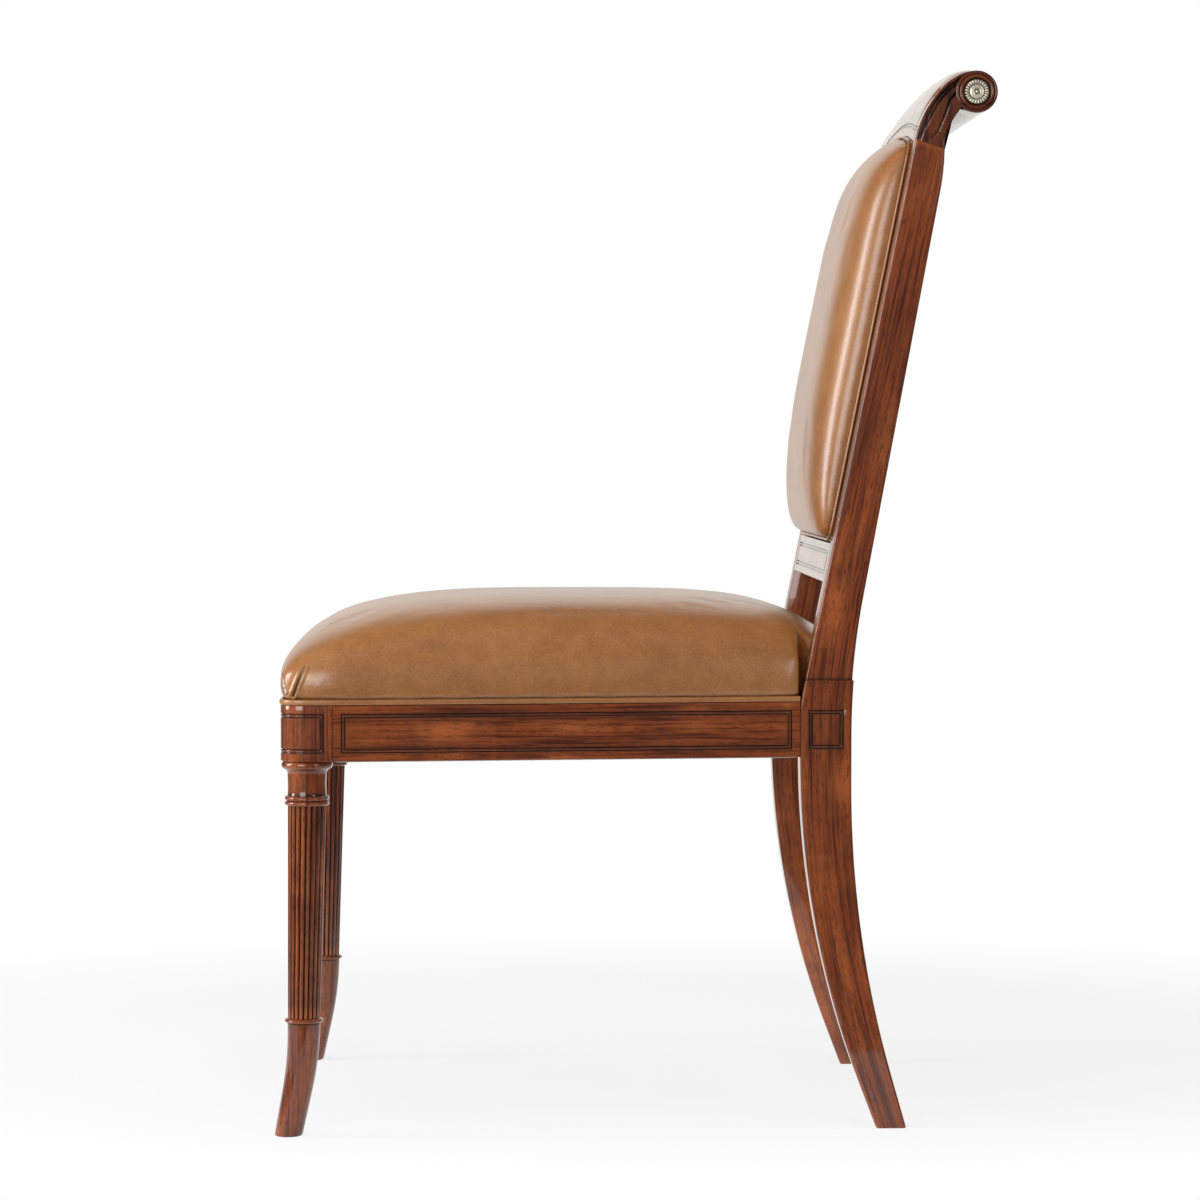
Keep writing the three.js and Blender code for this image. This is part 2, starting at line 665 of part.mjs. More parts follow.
function rearStile() {
  const legSteps = 9;
  const postSteps = 3;
  const inner = (z) => rearInnerX + rearFootTaper * (1 - Math.min(z / seatRailBottom, 1));
  const legLevels = Array.from({ length: legSteps + 1 }, (_, i) => (seatRailBottom * i) / legSteps);
  const curveTop = postFrontCurveStart + postFrontCurveRise;
  const legRings = [...legLevels, postFrontCurveStart, curveTop, blockTop].map((z) => {
    return stileRing(z, stileFront(z), stileRear(z), inner(z), rearOuterX);
  });
  const postTop = saddleFrontHeight + saddleRise + overrun;
  const shoulderZ = blockTop + stileShoulder;
  const postLevels = Array.from({ length: postSteps + 1 }, (_, i) => {
    return shoulderZ + ((postRearCurveStart + postRearCurveRise - shoulderZ) * i) / postSteps;
  });
  const easeLevels = [saddleRearHeight - postTopEaseDrop, saddleRearHeight - postTopEaseDrop / 2];
  const postRings = [...postLevels, ...easeLevels, saddleRearHeight, postTop].map((z) => {
    const rear = Math.max(stileRear(z) - stileShoulder, stileRear(blockTop) - stileShoulder);
    return stileRing(z, stileFront(z), rear, inner(z), rearOuterX - stileShoulder);
  });
  const [panelFront, panelRear] = [rearBlockFrontY + panelInset, rearBlockRearY - panelInset];
  const panel = flatFace([rearOuterX, panelFront], [rearOuterX, panelRear]);
  const bead = beadFrame(panel, seatRailBottom + panelInset, seatRailTop - panelInset);
  const aboveSaddle = box(rearInnerX - overrun, stileFront(blockTop), saddle.centre.y,
    rearOuterX + overrun, rollCentreY, postTop + overrun)
    .subtract(saddleCylinder(rearInnerX - overrun * 2, rearOuterX + overrun * 2, 0));
  return loft([...legRings, ...postRings])
    .subtract(aboveSaddle)
    .subtract(bead)
    .subtract(sideTenonRear(clearance))
    .subtract(backRailTenon(clearance))
    .subtract(stayTenon(clearance))
    .subtract(cornerScrewHole(false))
    .subtract(dowel(clearance));
}

// The seat rails: boards with tenons on both ends and a beaded frame on the outer face.
function sideRail() {
  const [y0, y1] = [frontBlockRearY + clearance, rearBlockFrontY - clearance];
  const [front, rear] = [sideRailOuterX(y0), sideRailOuterX(y1)];
  const plan = [[front, y0], [rear, y1], [rear - railThickness, y1], [front - railThickness, y0]];
  const [panelFront, panelRear] = [y0 + panelInset, y1 - panelInset];
  const face = flatFace([sideRailOuterX(panelFront), panelFront], [sideRailOuterX(panelRear), panelRear]);
  return prism(plan, seatRailBottom, seatRailTop)
    .subtract(beadFrame(face, seatRailBottom + panelInset, seatRailTop - panelInset))
    .add(sideTenonFront(0))
    .add(sideTenonRear(0));
}

function frontRail() {
  const half = legAxisX - blockHalf - clearance;
  const face = flatFace([-half + panelInset, frontFaceY], [half - panelInset, frontFaceY]);
  return box(-half, frontFaceY, seatRailBottom, half, frontFaceY + railThickness, seatRailTop)
    .subtract(beadFrame(face, seatRailBottom + panelInset, seatRailTop - panelInset))
    .add(frontRailTenon(0))
    .add(frontRailTenon(0).mirror([1, 0, 0]));
}

function backRail() {
  const half = rearInnerX - clearance;
  return box(-half, rearBlockRearY - backRailThickness, seatRailBottom, half, rearBlockRearY, seatRailTop)
    .add(backRailTenon(0))
    .add(backRailTenon(0).mirror([1, 0, 0]));
}

// The stay rail lies in the plane of the back, under the pad.
const stayTop = (stayRailBottom + stayRailHeight - backPadBottom) / Math.cos(rake);
const stayLow = stayTop - stayRailHeight / Math.cos(rake);

function stayTenon(grow) {
  const low = -(stayRailThickness + tenonThickness) / 2 - grow;
  const high = -(stayRailThickness - tenonThickness) / 2 + grow;
  return rakedBox(rearInnerX - overrun - grow, stayLow + tenonShoulder - grow, low,
    rearInnerX + rearTenonLength + grow, stayTop - tenonShoulder + grow, high);
}

function stayRail() {
  const half = rearInnerX - clearance;
  const geometry = new THREE.BoxGeometry(2 * half, stayRailThickness, stayTop - stayLow);
  const face = flatFace([-half + stayPanelInset, 0], [half - stayPanelInset, 0]);
  const board = solidOf(geometry.translate(0, stayRailThickness / 2, (stayTop + stayLow) / 2))
    .subtract(beadFrame(face, stayLow + stayPanelInset, stayTop - stayPanelInset));
  const tip = new THREE.Matrix4().makeRotationX(-rake).setPosition(backPlane(0, 0, 0));
  return solidOf(geometryOf(board).applyMatrix4(tip))
    .add(stayTenon(0))
    .add(stayTenon(0).mirror([1, 0, 0]));
}

// The crest rail's section in the side view, its upper part raised by a given rise.
const crestFrontSteps = 8;
const crestRollSteps = 10;
const crestRearSteps = 4;

// A point at the given shares of the way from one point to another, in the side view.
function sharedPoint(from, to, [acrossShare, upShare]) {
  const y = THREE.MathUtils.lerp(from.x, to.x, acrossShare);
  return new THREE.Vector2(y, THREE.MathUtils.lerp(from.y, to.y, upShare));
}

function crestSection(rise) {
  const neck = THREE.MathUtils.degToRad(neckAngle);
  const top = new THREE.Vector2(rollCentreY, rollCentreZ + rollRadius);
  const low = rollCentreZ - rollRadius;
  const frontHandles = crestFrontHandleShares.map((shares) => sharedPoint(saddle.front, top, shares));
  const front = new THREE.CubicBezierCurve(saddle.front, ...frontHandles, top);
  const roll = Array.from({ length: crestRollSteps }, (_, i) => {
    const angle = Math.PI / 2 - ((i + 1) / crestRollSteps) * (5 * Math.PI / 2 - neck);
    const [y, z] = [rollCentreY + rollRadius * Math.cos(angle), rollCentreZ + rollRadius * Math.sin(angle)];
    return new THREE.Vector2(y, z);
  });
  const throat = roll[crestRollSteps - 1];
  const rearHandles = crestRearHandleShares.map((shares) => sharedPoint(throat, saddle.rear, shares));
  const rear = new THREE.CubicBezierCurve(throat, ...rearHandles, saddle.rear);
  const lift = ({ x, y }) => {
    const share = THREE.MathUtils.clamp((y - low) / (top.y - low), 0, 1);
    return new THREE.Vector2(x, y + rise * share);
  };
  const frontLift = ({ x, y }) => {
    const share = (y - saddle.front.y) / (top.y - saddle.front.y);
    return new THREE.Vector2(x, y + rise * Math.min(share / crestLiftShare, 1));
  };
  return [...front.getPoints(crestFrontSteps).map(frontLift), ...roll.map(lift),
    ...rear.getPoints(crestRearSteps).slice(1)];
}

// The rise of the crest at a place along its length: an arch between the posts, level over them.
function crestRise(x) {
  const share = Math.min(Math.abs(x) / rearInnerX, 1);
  return crestArch * (1 - share * share) ** crestArchPower;
}

function crestBody() {
  const steps = 10;
  const inner = Array.from({ length: steps + 1 }, (_, i) => {
    return rearInnerX * Math.sin((Math.PI / 2) * (2 * i / steps - 1));
  });
  const stations = [-rearOuterX, ...inner, rearOuterX];
  return loft(stations.map((x) => crestSection(crestRise(x)).map((p) => new THREE.Vector3(x, p.x, p.y))));
}

// A line between the front and rear edges of the carved ear, at a share of the way across.
function earLine(share) {
  const section = crestSection(0);
  const steps = 6;
  const front = new THREE.SplineCurve(section.slice(0, crestFrontSteps - 1));
  const rear = new THREE.SplineCurve(section.slice(-crestRearSteps - 1).reverse());
  const [startShare, endShare] = earReachShares;
  return Array.from({ length: steps + 1 }, (_, i) => {
    const alongShare = THREE.MathUtils.lerp(startShare, endShare, i / steps);
    const place = front.getPointAt(alongShare).lerp(rear.getPointAt(alongShare), share);
    return new THREE.Vector3(rearOuterX + reedGrooveRadius - reedGrooveBite, place.x, place.y);
  });
}

function reedGroove(share) {
  const sides = 6;
  const steps = 7;
  const outline = new THREE.Shape(Array.from({ length: sides }, (_, i) => {
    const angle = (2 * Math.PI * i) / sides;
    return new THREE.Vector2(reedGrooveRadius * Math.cos(angle), reedGrooveRadius * Math.sin(angle));
  }));
  const path = new THREE.CatmullRomCurve3(earLine(share));
  return solidOf(new THREE.ExtrudeGeometry(outline, { steps, extrudePath: path, bevelEnabled: false }));
}

// A turned piece about the volute's axis, from [radius, distance outwards] pairs.
function onVolute(profile, segments) {
  const points = profile.map(([radius, out]) => new THREE.Vector2(radius, out));
  const geometry = new THREE.LatheGeometry(points, segments);
  return solidOf(geometry.rotateZ(-Math.PI / 2).translate(rearOuterX, rollCentreY, rollCentreZ));
}

// The volute's disc, a little proud of the crest's end.
function voluteBoss() {
  const edge = voluteProud / 2;
  const profile = [[0, -overrun], [rollRadius, -overrun], [rollRadius, voluteProud - edge],
    [rollRadius - edge, voluteProud], [0, voluteProud]];
  const segments = 32;
  return onVolute(profile, segments);
}

// The groove that leaves a rim round the volute's disc.
function voluteGroove() {
  const middle = (voluteGrooveInner + voluteGrooveOuter) / 2;
  const depth = voluteProud - voluteGrooveDepth;
  const quarter = (voluteGrooveOuter - voluteGrooveInner) / 4;
  const profile = [[voluteGrooveInner, voluteProud + overrun], [voluteGrooveInner, voluteProud],
    [middle - quarter, depth], [middle + quarter, depth], [voluteGrooveOuter, voluteProud],
    [voluteGrooveOuter, voluteProud + overrun], [voluteGrooveInner, voluteProud + overrun]];
  const segments = 32;
  return onVolute(profile, segments);
}

// The rosette's shallow seat and the hole for its pin.
function rosetteSeat() {
  const floor = voluteProud - rosetteSeatDepth;
  const pin = rosettePinRadius + clearance;
  const profile = [[0, floor - rosettePinLength - clearance], [pin, floor - rosettePinLength - clearance],
    [pin, floor], [rosetteRadius + clearance, floor], [rosetteRadius + clearance, voluteProud + overrun],
    [0, voluteProud + overrun]];
  const segments = 24;
  return onVolute(profile, segments);
}

function rosette() {
  const back = voluteProud - rosetteSeatDepth + clearance;
  const pinEnd = back - rosettePinLength;
  const face = rosetteProfileShares.map(([radiusShare, heightShare]) => {
    return [rosetteRadius * radiusShare, back + rosetteHeight * heightShare];
  });
  const segments = 20;
  return onVolute([[0, pinEnd], [rosettePinRadius, pinEnd], [rosettePinRadius, back], ...face], segments);
}

function mirrored(solid) {
  return solid.mirror([1, 0, 0]);
}

function onBothEnds(solid, operation, parts) {
  return parts.reduce((whole, part) => whole[operation](part)[operation](mirrored(part)), solid);
}

function crestRail() {
  const padRoom = archedBoard(rearInnerX, backPadHeight / 2, clearance, -rollCentreY, rollRadius);
  const saddles = saddleCylinder(rearInnerX - overrun, rearOuterX + overrun, clearance);
  const uncarved = onBothEnds(crestBody(), "add", [voluteBoss()]);
  const carving = [...earGrooveShares.map(reedGroove), voluteGroove(), rosetteSeat()];
  return onBothEnds(uncarved, "subtract", [...carving, saddles, dowel(clearance)]).subtract(padRoom);
}

// A padded form: a grid that swells in the middle, side rings down from its edge, and a flat underside.
function pillow(divisions, top, sides) {
  const share = (i) => Math.sin(Math.PI * (i / divisions - 1 / 2));
  const points = [];
  const faces = [];
  for (let i = 0; i <= divisions; i++)
    for (let j = 0; j <= divisions; j++) points.push(top(share(i), share(j)));
  const at = (i, j) => i * (divisions + 1) + j;
  for (let i = 0; i < divisions; i++)
    for (let j = 0; j < divisions; j++) {
      faces.push(at(i, j), at(i + 1, j), at(i + 1, j + 1));
      faces.push(at(i, j), at(i + 1, j + 1), at(i, j + 1));
    }
  const edge = [];
  for (let i = 0; i < divisions; i++) edge.push([i, 0]);
  for (let j = 0; j < divisions; j++) edge.push([divisions, j]);
  for (let i = divisions; i > 0; i--) edge.push([i, divisions]);
  for (let j = divisions; j > 0; j--) edge.push([0, j]);
  let ring = edge.map(([i, j]) => at(i, j));
  for (const side of sides) {
    const next = edge.map(([i, j]) => points.push(side(share(i), share(j))) - 1);
    ring.forEach((a, k) => {
      const m = (k + 1) % ring.length;
      faces.push(a, next[k], ring[m], ring[m], next[k], next[m]);
    });
    ring = next;
  }
  const middle = ring.reduce((sum, k) => sum.add(points[k]), new THREE.Vector3()).divideScalar(ring.length);
  const hub = points.push(middle) - 1;
  ring.forEach((a, k) => faces.push(a, hub, ring[(k + 1) % ring.length]));
  return surface(points, faces);
}

// The swell of a padded form across one direction: flat in the middle and steep at the edge.
function swell(share, power) {
  return Math.sqrt(Math.max(1 - Math.abs(share) ** power, 0));
}

// The seat pad's plan, inset all round by a distance; u runs across and v from front to rear.
function seatPlan(u, v, inset) {
  const frontY = frontFaceY - seatPadProud + inset;
  const rearY = rearBlockRearY - inset;
  const y = THREE.MathUtils.lerp(frontY, rearY, (v + 1) / 2);
  const halfWidth = sideRailOuterX(y) + seatPadProud - inset;
  const drawn = seatCornerSoftness * Math.abs(u * v) ** cornerPower;
  return [u * halfWidth - Math.sign(u) * drawn, y - Math.sign(v) * drawn];
}

function seatDome(divisions, inset, base) {
  const swellPower = 3;
  const sideTop = weltTop + seatPadSide - inset;
  const crown = seatPadCrown - inset * foamCrownShare;
  const height = (u, v) => sideTop + crown * swell(u, swellPower) * swell(v, swellPower);
  const top = (u, v) => new THREE.Vector3(...seatPlan(u, v, inset), height(u, v));
  const ring = (more, z) => (u, v) => new THREE.Vector3(...seatPlan(u, v, inset + more), z);
  const tuck = seatPadProud + weltThickness + clearance;
  return pillow(divisions, top, [
    ring(-seatPadProud / 2, weltTop + seatPadSide / 2),
    ring(0, weltTop + clearance),
    ring(tuck, weltTop),
    ring(tuck, base),
  ]);
}

// The room that a rear post takes out of the seat pad, grown by a distance on its two inner sides.
function postNotch(grow) {
  return box(rearInnerX - grow, rearBlockFrontY - grow, seatRailTop - overrun,
    rearOuterX * 2, rearBlockRearY * 2, backPadTop);
}

function seatCover() {
  const fine = 16;
  const coarse = 8;
  const base = seatRailTop + clearance;
  const wall = leatherThickness * 2;
  const hollow = onBothEnds(seatDome(coarse, wall, base - overrun), "subtract", [postNotch(wall)]);
  return onBothEnds(seatDome(fine, 0, base), "subtract", [postNotch(clearance)]).subtract(hollow);
}

function seatFoam() {
  const coarse = 8;
  const base = seatRailTop + clearance * 2 + strapThickness * 2 + strapWave;
  const wall = leatherThickness * 2 + clearance;
  return onBothEnds(seatDome(coarse, wall + clearance, base), "subtract", [postNotch(wall)]);
}

// The flat leather welt at the pad's foot, along both sides and the front.
function weltPath(inset) {
  const radius = frontBlockCornerRadius - inset;
  const steps = 6;
  const outer = weltProud - inset;
  const endY = rearBlockFrontY - clearance;
  const centre = [frontOuterX - frontBlockCornerRadius, frontFaceY + frontBlockCornerRadius];
  const right = [[sideRailOuterX(endY) + outer, endY], [frontOuterX + outer, frontBlockRearY]];
  for (let i = 0; i <= steps; i++) {
    const angle = ((-Math.PI / 2) * i) / steps;
    const reach = radius + weltProud;
    right.push([centre[0] + reach * Math.cos(angle), centre[1] + reach * Math.sin(angle)]);
  }
  const left = right.map(([x, y]) => [-x, y]).reverse();
  return [...right, ...left];
}

function seatWelt() {
  const plan = [...weltPath(0), ...weltPath(weltThickness).reverse()];
  return prism(plan, seatRailTop + clearance, weltTop - clearance);
}

function rearWelt() {
  const half = rearInnerX - clearance;
  return box(-half, rearBlockRearY - weltThickness, seatRailTop + clearance, half, rearBlockRearY,
    weltTop - clearance);
}

// A strap that weaves over and under what it crosses; ends lie flat on the rails.
function strap(length, crossings, phase, place) {
  const stops = [-length / 2, -length / 2 + strapWidth / 2];
  const flat = strapWidth * strapFlatShare;
  crossings.forEach((along) => stops.push(along - flat, along + flat));
  stops.push(length / 2 - strapWidth / 2, length / 2);
  const rings = stops.map((along, i) => {
    const crossing = Math.floor((i - 2) / 2);
    const inside = i >= 2 && i < stops.length - 2;
    const lift = inside ? strapWave * ((crossing + phase) % 2 === 0 ? 1 : -1) : 0;
    return [[-1, 0], [1, 0], [1, 1], [-1, 1]].map(([side, face]) => {
      return place(along, (side * strapWidth) / 2, lift + face * strapThickness);
    });
  });
  return loft(rings);
}

function strapPlaces(pitch) {
  return Array.from({ length: strapCount }, (_, i) => (i - (strapCount - 1) / 2) * pitch);
}

const seatStrapZ = seatRailTop + clearance + strapWave;
const lengthStrapLift = clearance / 2; // the straps that run lengthwise lie this much higher
const seatMiddleY = (frontFaceY + rearBlockRearY) / 2;
const seatStrapReach = railThickness / 2;

function seatLengthStrap(index) {
  const length = rearBlockRearY - frontFaceY - 2 * seatStrapReach;
  const x = strapPlaces(seatStrapPitch)[index];
  return strap(length, strapPlaces(seatStrapPitch), index, (along, across, up) => {
    return new THREE.Vector3(x + across, seatMiddleY + along, seatStrapZ + lengthStrapLift + up);
  });
}

function seatCrossStrap(index) {
  const y = strapPlaces(seatStrapPitch)[index];
  const width = 2 * (sideRailOuterX(seatMiddleY + y + strapWidth / 2) - seatStrapReach);
  return strap(width, strapPlaces(seatStrapPitch), index + 1, (along, across, up) => {
    return new THREE.Vector3(along, seatMiddleY + y - across, seatStrapZ + up);
  });
}

// The dust cover under the rails, cut away round the legs.
function dustCover() {
  const high = seatRailBottom - clearance;
  const low = high - dustCoverThickness;
  const [y0, y1] = [frontFaceY + dustCoverInset, rearBlockRearY - dustCoverInset];
  const xAt = (y) => sideRailOuterX(y) - dustCoverInset;
  const frontNotch = box(legAxisX - blockHalf - dustCoverLegGap, frontFaceY, low - overrun,
    frontOuterX * 2, frontBlockRearY + dustCoverLegGap, high + overrun);
  const rearNotch = box(rearInnerX - dustCoverLegGap, rearBlockFrontY - dustCoverLegGap, low - overrun,
    rearOuterX * 2, rearBlockRearY + dustCoverLegGap, high + overrun);
  const sheet = prism([[-xAt(y0), y0], [xAt(y0), y0], [xAt(y1), y1], [-xAt(y1), y1]], low, high);
  return onBothEnds(sheet, "subtract", [frontNotch, rearNotch]);
}

// The back pad's plan in the plane of the back, u across and v up, inset all round.
const backHalfWidth = rearInnerX - clearance;
const pipingRoom = 2 * (pipingRadius + clearance);
const backPadSide = pipingRoom + leatherThickness;

function backPlan(u, v, inset) {
  const drawn = backCornerSoftness * Math.abs(u * v) ** cornerPower;
  const x = u * (backHalfWidth - inset) - Math.sign(u) * drawn;
  return [x, THREE.MathUtils.lerp(inset, backTopAt(x) - inset, (v + 1) / 2) - Math.sign(v) * drawn];
}

// The pad's swell over its plan; an undercut leaves room for the piping below its edge.
function backDome(divisions, inset, skin, base, undercut) {
  const acrossPower = 3;
  const upPower = 3.6;
  const height = (u, v) => backPadSide - skin + backPadCrown * swell(u, acrossPower) * swell(v, upPower);
  const at = (u, v, more, w) => {
    const [x, up] = backPlan(u, v, inset + more);
    return backPlane(x, up, w);
  };
  const foot = (u, v) => at(u, v, undercut, base);
  const sides = undercut > 0 ? [(u, v) => at(u, v, undercut, pipingRoom), foot] : [foot];
  return pillow(divisions, (u, v) => at(u, v, 0, height(u, v)), sides);
}

const backFrameFront = -backFrameSet;
const backHollowInset = pipingRoom + leatherThickness;

function backCover() {
  const fine = 16;
  const coarse = 8;
  const base = backFrameFront + clearance;
  const hollow = backDome(coarse, backHollowInset, leatherThickness, base - overrun, 0);
  return backDome(fine, 0, 0, base, pipingRoom).subtract(hollow);
}

function backFoam() {
  const coarse = 8;
  const base = backFrameFront + clearance * 2 + strapThickness * 2 + strapWave;
  return backDome(coarse, backHollowInset + clearance, leatherThickness + clearance, base, 0);
}

function backFrameTop() {
  return archedBoard(backHalfWidth, backPadHeight - backFrameWidth, 0,
    backFrameFront - backFrameThickness, backFrameFront);
}

function backFrameBottom() {
  return rakedBox(-backHalfWidth, clearance, backFrameFront - backFrameThickness,
    backHalfWidth, backFrameWidth, backFrameFront);
}

function backFrameStile() {
  const from = backFrameWidth + clearance;
  const to = backPadHeight - backFrameWidth - clearance;
  return rakedBox(backHalfWidth - backFrameWidth, from, backFrameFront - backFrameThickness,
    backHalfWidth, to, backFrameFront);
}

const backStrapW = backFrameFront + clearance + strapWave;

function backUpStrap(index) {
  const x = strapPlaces(backStrapPitch)[index];
  const length = backPadHeight - backFrameWidth;
  return strap(length, strapPlaces(backStrapPitch), index, (along, across, up) => {
    return backPlane(x + across, backPadHeight / 2 + along, backStrapW + lengthStrapLift + up);
  });
}

function backCrossStrap(index) {
  const v = backPadHeight / 2 + strapPlaces(backStrapPitch)[index];
  const length = 2 * backHalfWidth - backFrameWidth;
  return strap(length, strapPlaces(backStrapPitch), index + 1, (along, across, up) => {
    return backPlane(along, v - across, backStrapW + up);
  });
}

// Piping round the back pad, in the angle between the pad and the posts.
function backPiping() {
  const cornerSteps = 4;
  const sides = 6;
  const inset = pipingRadius + clearance;
  const radius = backCornerSoftness * 2;
  const halfX = backHalfWidth - inset;
  const halfV = backPadHeight / 2 - inset;
  const centres = [[1, 1], [-1, 1], [-1, -1], [1, -1]];
  const path = centres.flatMap(([sx, sv], corner) => Array.from({ length: cornerSteps + 1 }, (_, i) => {
    const angle = (Math.PI / 2) * (corner + i / cornerSteps);
    const normal = [Math.cos(angle), Math.sin(angle)];
    const [x, v] = [sx * (halfX - radius) + radius * normal[0], sv * (halfV - radius) + radius * normal[1]];
    return { x, v, normal };
  }));
  const topSteps = 7;
  const topEdge = Array.from({ length: topSteps }, (_, i) => {
    return { x: (halfX - radius) * (1 - (2 * (i + 1)) / (topSteps + 1)), v: halfV, normal: [0, 1] };
  });
  path.splice(cornerSteps + 1, 0, ...topEdge);
  path.filter(({ v }) => v > 0).forEach((stop) => {
    stop.v += backTopAt(stop.x) - backPadHeight;
  });
  const rings = path.map(({ x, v, normal }) => Array.from({ length: sides }, (_, i) => {
    const angle = (2 * Math.PI * i) / sides;
    const out = pipingRadius * Math.cos(angle);
    const up = pipingRadius * Math.sin(angle);
    return backPlane(x + normal[0] * out, backPadHeight / 2 + v + normal[1] * out, inset + up);
  }));
  return closedTube(rings);
}

// The leather panel on the rear of the inner frame, a little crowned.
function outsideBack() {
  const divisions = 6;
  const back = backFrameFront - backFrameThickness - clearance;
  const swellPower = 2;
  return pillow(divisions, (u, v) => {
    const [x, up] = backPlan(u, v, clearance);
    const out = outsideBackThickness + outsideBackCrown * swell(u, swellPower) * swell(v, swellPower);
    return backPlane(x, up, back - out);
  }, [(u, v) => {
    const [x, up] = backPlan(u, v, clearance);
    return backPlane(x, up, back);
  }]);
}

const chair = new THREE.Group();

function place(name, solid, finish) {
  const mesh = new THREE.Mesh(geometryOf(solid), new THREE.MeshStandardMaterial(finish));
  mesh.name = name;
  chair.add(mesh);
}

// The same piece on the sitter's left and, mirrored, on the right.
function placePair(name, solid, finish) {
  place(`${name}_left`, solid, finish);
  place(`${name}_right`, mirrored(solid), finish);
}

placePair("front_leg", frontLeg(), mahogany);
placePair("rear_stile", rearStile(), mahogany);
placePair("side_seat_rail", sideRail(), mahogany);
place("front_seat_rail", frontRail(), mahogany);
place("back_seat_rail", backRail(), mahogany);
place("stay_rail", stayRail(), mahogany);
place("crest_rail", crestRail(), mahogany);
placePair("crest_dowel", dowel(0), beech);
placePair("rosette", rosette(), brass);

placePair("front_corner_block", cornerBlock(true), beech);
placePair("rear_corner_block", cornerBlock(false), beech);
placePair("front_corner_screw", cornerScrew(true), steel);
placePair("rear_corner_screw", cornerScrew(false), steel);

for (let i = 0; i < strapCount; i++) {
  place(`seat_strap_long_${i + 1}`, seatLengthStrap(i), jute);
  place(`seat_strap_cross_${i + 1}`, seatCrossStrap(i), jute);
  place(`back_strap_up_${i + 1}`, backUpStrap(i), jute);
  place(`back_strap_cross_${i + 1}`, backCrossStrap(i), jute);
}
place("seat_foam", seatFoam(), foam);
place("seat_cover", seatCover(), leather);
place("seat_welt", seatWelt(), leather);
place("seat_welt_rear", rearWelt(), leather);
place("dust_cover", dustCover(), cambric);

place("back_frame_top", backFrameTop(), beech);
place("back_frame_bottom", backFrameBottom(), beech);
placePair("back_frame_side", backFrameStile(), beech);
place("back_foam", backFoam(), foam);
place("back_cover", backCover(), leather);
place("back_piping", backPiping(), leather);
place("outside_back", outsideBack(), leather);

// The chair's own origin is the middle of its footprint, on the floor.
const extent = new THREE.Box3().setFromObject(chair);
const middle = extent.getCenter(new THREE.Vector3());
chair.position.set(-middle.x, -middle.y, -extent.min.z);

export default chair;
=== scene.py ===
# %% [markdown]
# A klismos dining chair: reeded front legs, sabre rear legs, a scrolled crest rail and leather pads.
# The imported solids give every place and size. Each visible piece is drawn again as a fine surface over
# its solid: a grid of points worked out by a formula, in millimetres, and scaled to metres when it
# becomes a mesh. Hidden pieces keep their solids and get a finish.

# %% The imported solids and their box
import json
import math

import bmesh
import bpy
import numpy as np
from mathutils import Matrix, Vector

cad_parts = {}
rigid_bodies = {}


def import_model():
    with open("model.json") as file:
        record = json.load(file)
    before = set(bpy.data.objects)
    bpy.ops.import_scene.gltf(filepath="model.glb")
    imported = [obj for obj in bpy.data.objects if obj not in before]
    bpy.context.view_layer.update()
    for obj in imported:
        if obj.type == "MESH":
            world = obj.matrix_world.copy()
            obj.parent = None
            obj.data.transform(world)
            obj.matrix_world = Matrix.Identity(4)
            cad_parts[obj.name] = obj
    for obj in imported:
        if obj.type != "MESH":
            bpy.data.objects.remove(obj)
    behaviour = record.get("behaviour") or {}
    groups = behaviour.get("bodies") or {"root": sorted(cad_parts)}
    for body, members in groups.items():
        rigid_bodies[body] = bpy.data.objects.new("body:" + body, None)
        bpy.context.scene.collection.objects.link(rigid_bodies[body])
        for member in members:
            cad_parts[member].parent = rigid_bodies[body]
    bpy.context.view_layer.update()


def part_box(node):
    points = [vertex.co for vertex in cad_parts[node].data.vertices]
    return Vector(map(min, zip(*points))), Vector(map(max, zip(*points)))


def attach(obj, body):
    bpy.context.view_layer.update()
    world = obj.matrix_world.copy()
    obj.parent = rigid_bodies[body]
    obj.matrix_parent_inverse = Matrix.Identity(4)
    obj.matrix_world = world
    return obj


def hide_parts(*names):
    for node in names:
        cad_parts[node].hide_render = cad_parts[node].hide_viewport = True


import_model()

MM = 0.001
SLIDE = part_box("back_seat_rail")[1].y / MM - 198.8
scene = bpy.context.scene

# %% [markdown]
# The camera stands 4 m off the chair's left side, a little over seat height, with a long lens.
# It is turned so that the chair sits in the square picture as in the photograph, without lens shift,
# so that other views of the chair stay centred.

# %% The camera


def configured(thing, **options):
    """Sets options of a camera, lamp, modifier or node, and gives it back."""
    for key, value in options.items():
        setattr(thing, key, value)
    return thing


def add(name, data):
    """A new object in the scene."""
    thing = bpy.data.objects.new(name, data)
    scene.collection.objects.link(thing)
    return thing


def aimed(data, place, target):
    """A camera or lamp at a place, turned to its target."""
    turn = (Vector(target) - Vector(place)).to_track_quat("-Z", "Y").to_euler()
    return configured(add(data.name, data), location=place, rotation_euler=turn)


lens = configured(bpy.data.cameras.new("side_view"), sensor_width=36, lens=123.6)
scene.camera = aimed(lens, (4.000, -0.1317, 0.6326), (0.0, -0.0277, 0.4824))

# %% [markdown]
# Every piece is one or more shells. A shell is a grid of points joined by quads, closed round its
# columns and covered by a fan of triangles at each end. Two more things are kept for each point:
# where it lies in the plank (along the grain, and two ways across), so that the figure of the wood
# follows the piece, and how dark it is painted: old polish in the wood's carving and tarnish in the
# brass's hollows, with painted shade in the grooves, in the recesses and round the mouldings.

# %% Shells: closed grids of points
PLANK_DRIFT = (185, 37, 111)


def vec(*parts):
    """Coordinates put together to points, stretched to one shape where they differ."""
    return np.stack(np.broadcast_arrays(*parts), -1)


def joined(*parts):
    """Arrays put one after another."""
    return np.concatenate(parts)


def unit(value):
    """Values cut off at 0 and 1."""
    return np.clip(value, 0, 1)


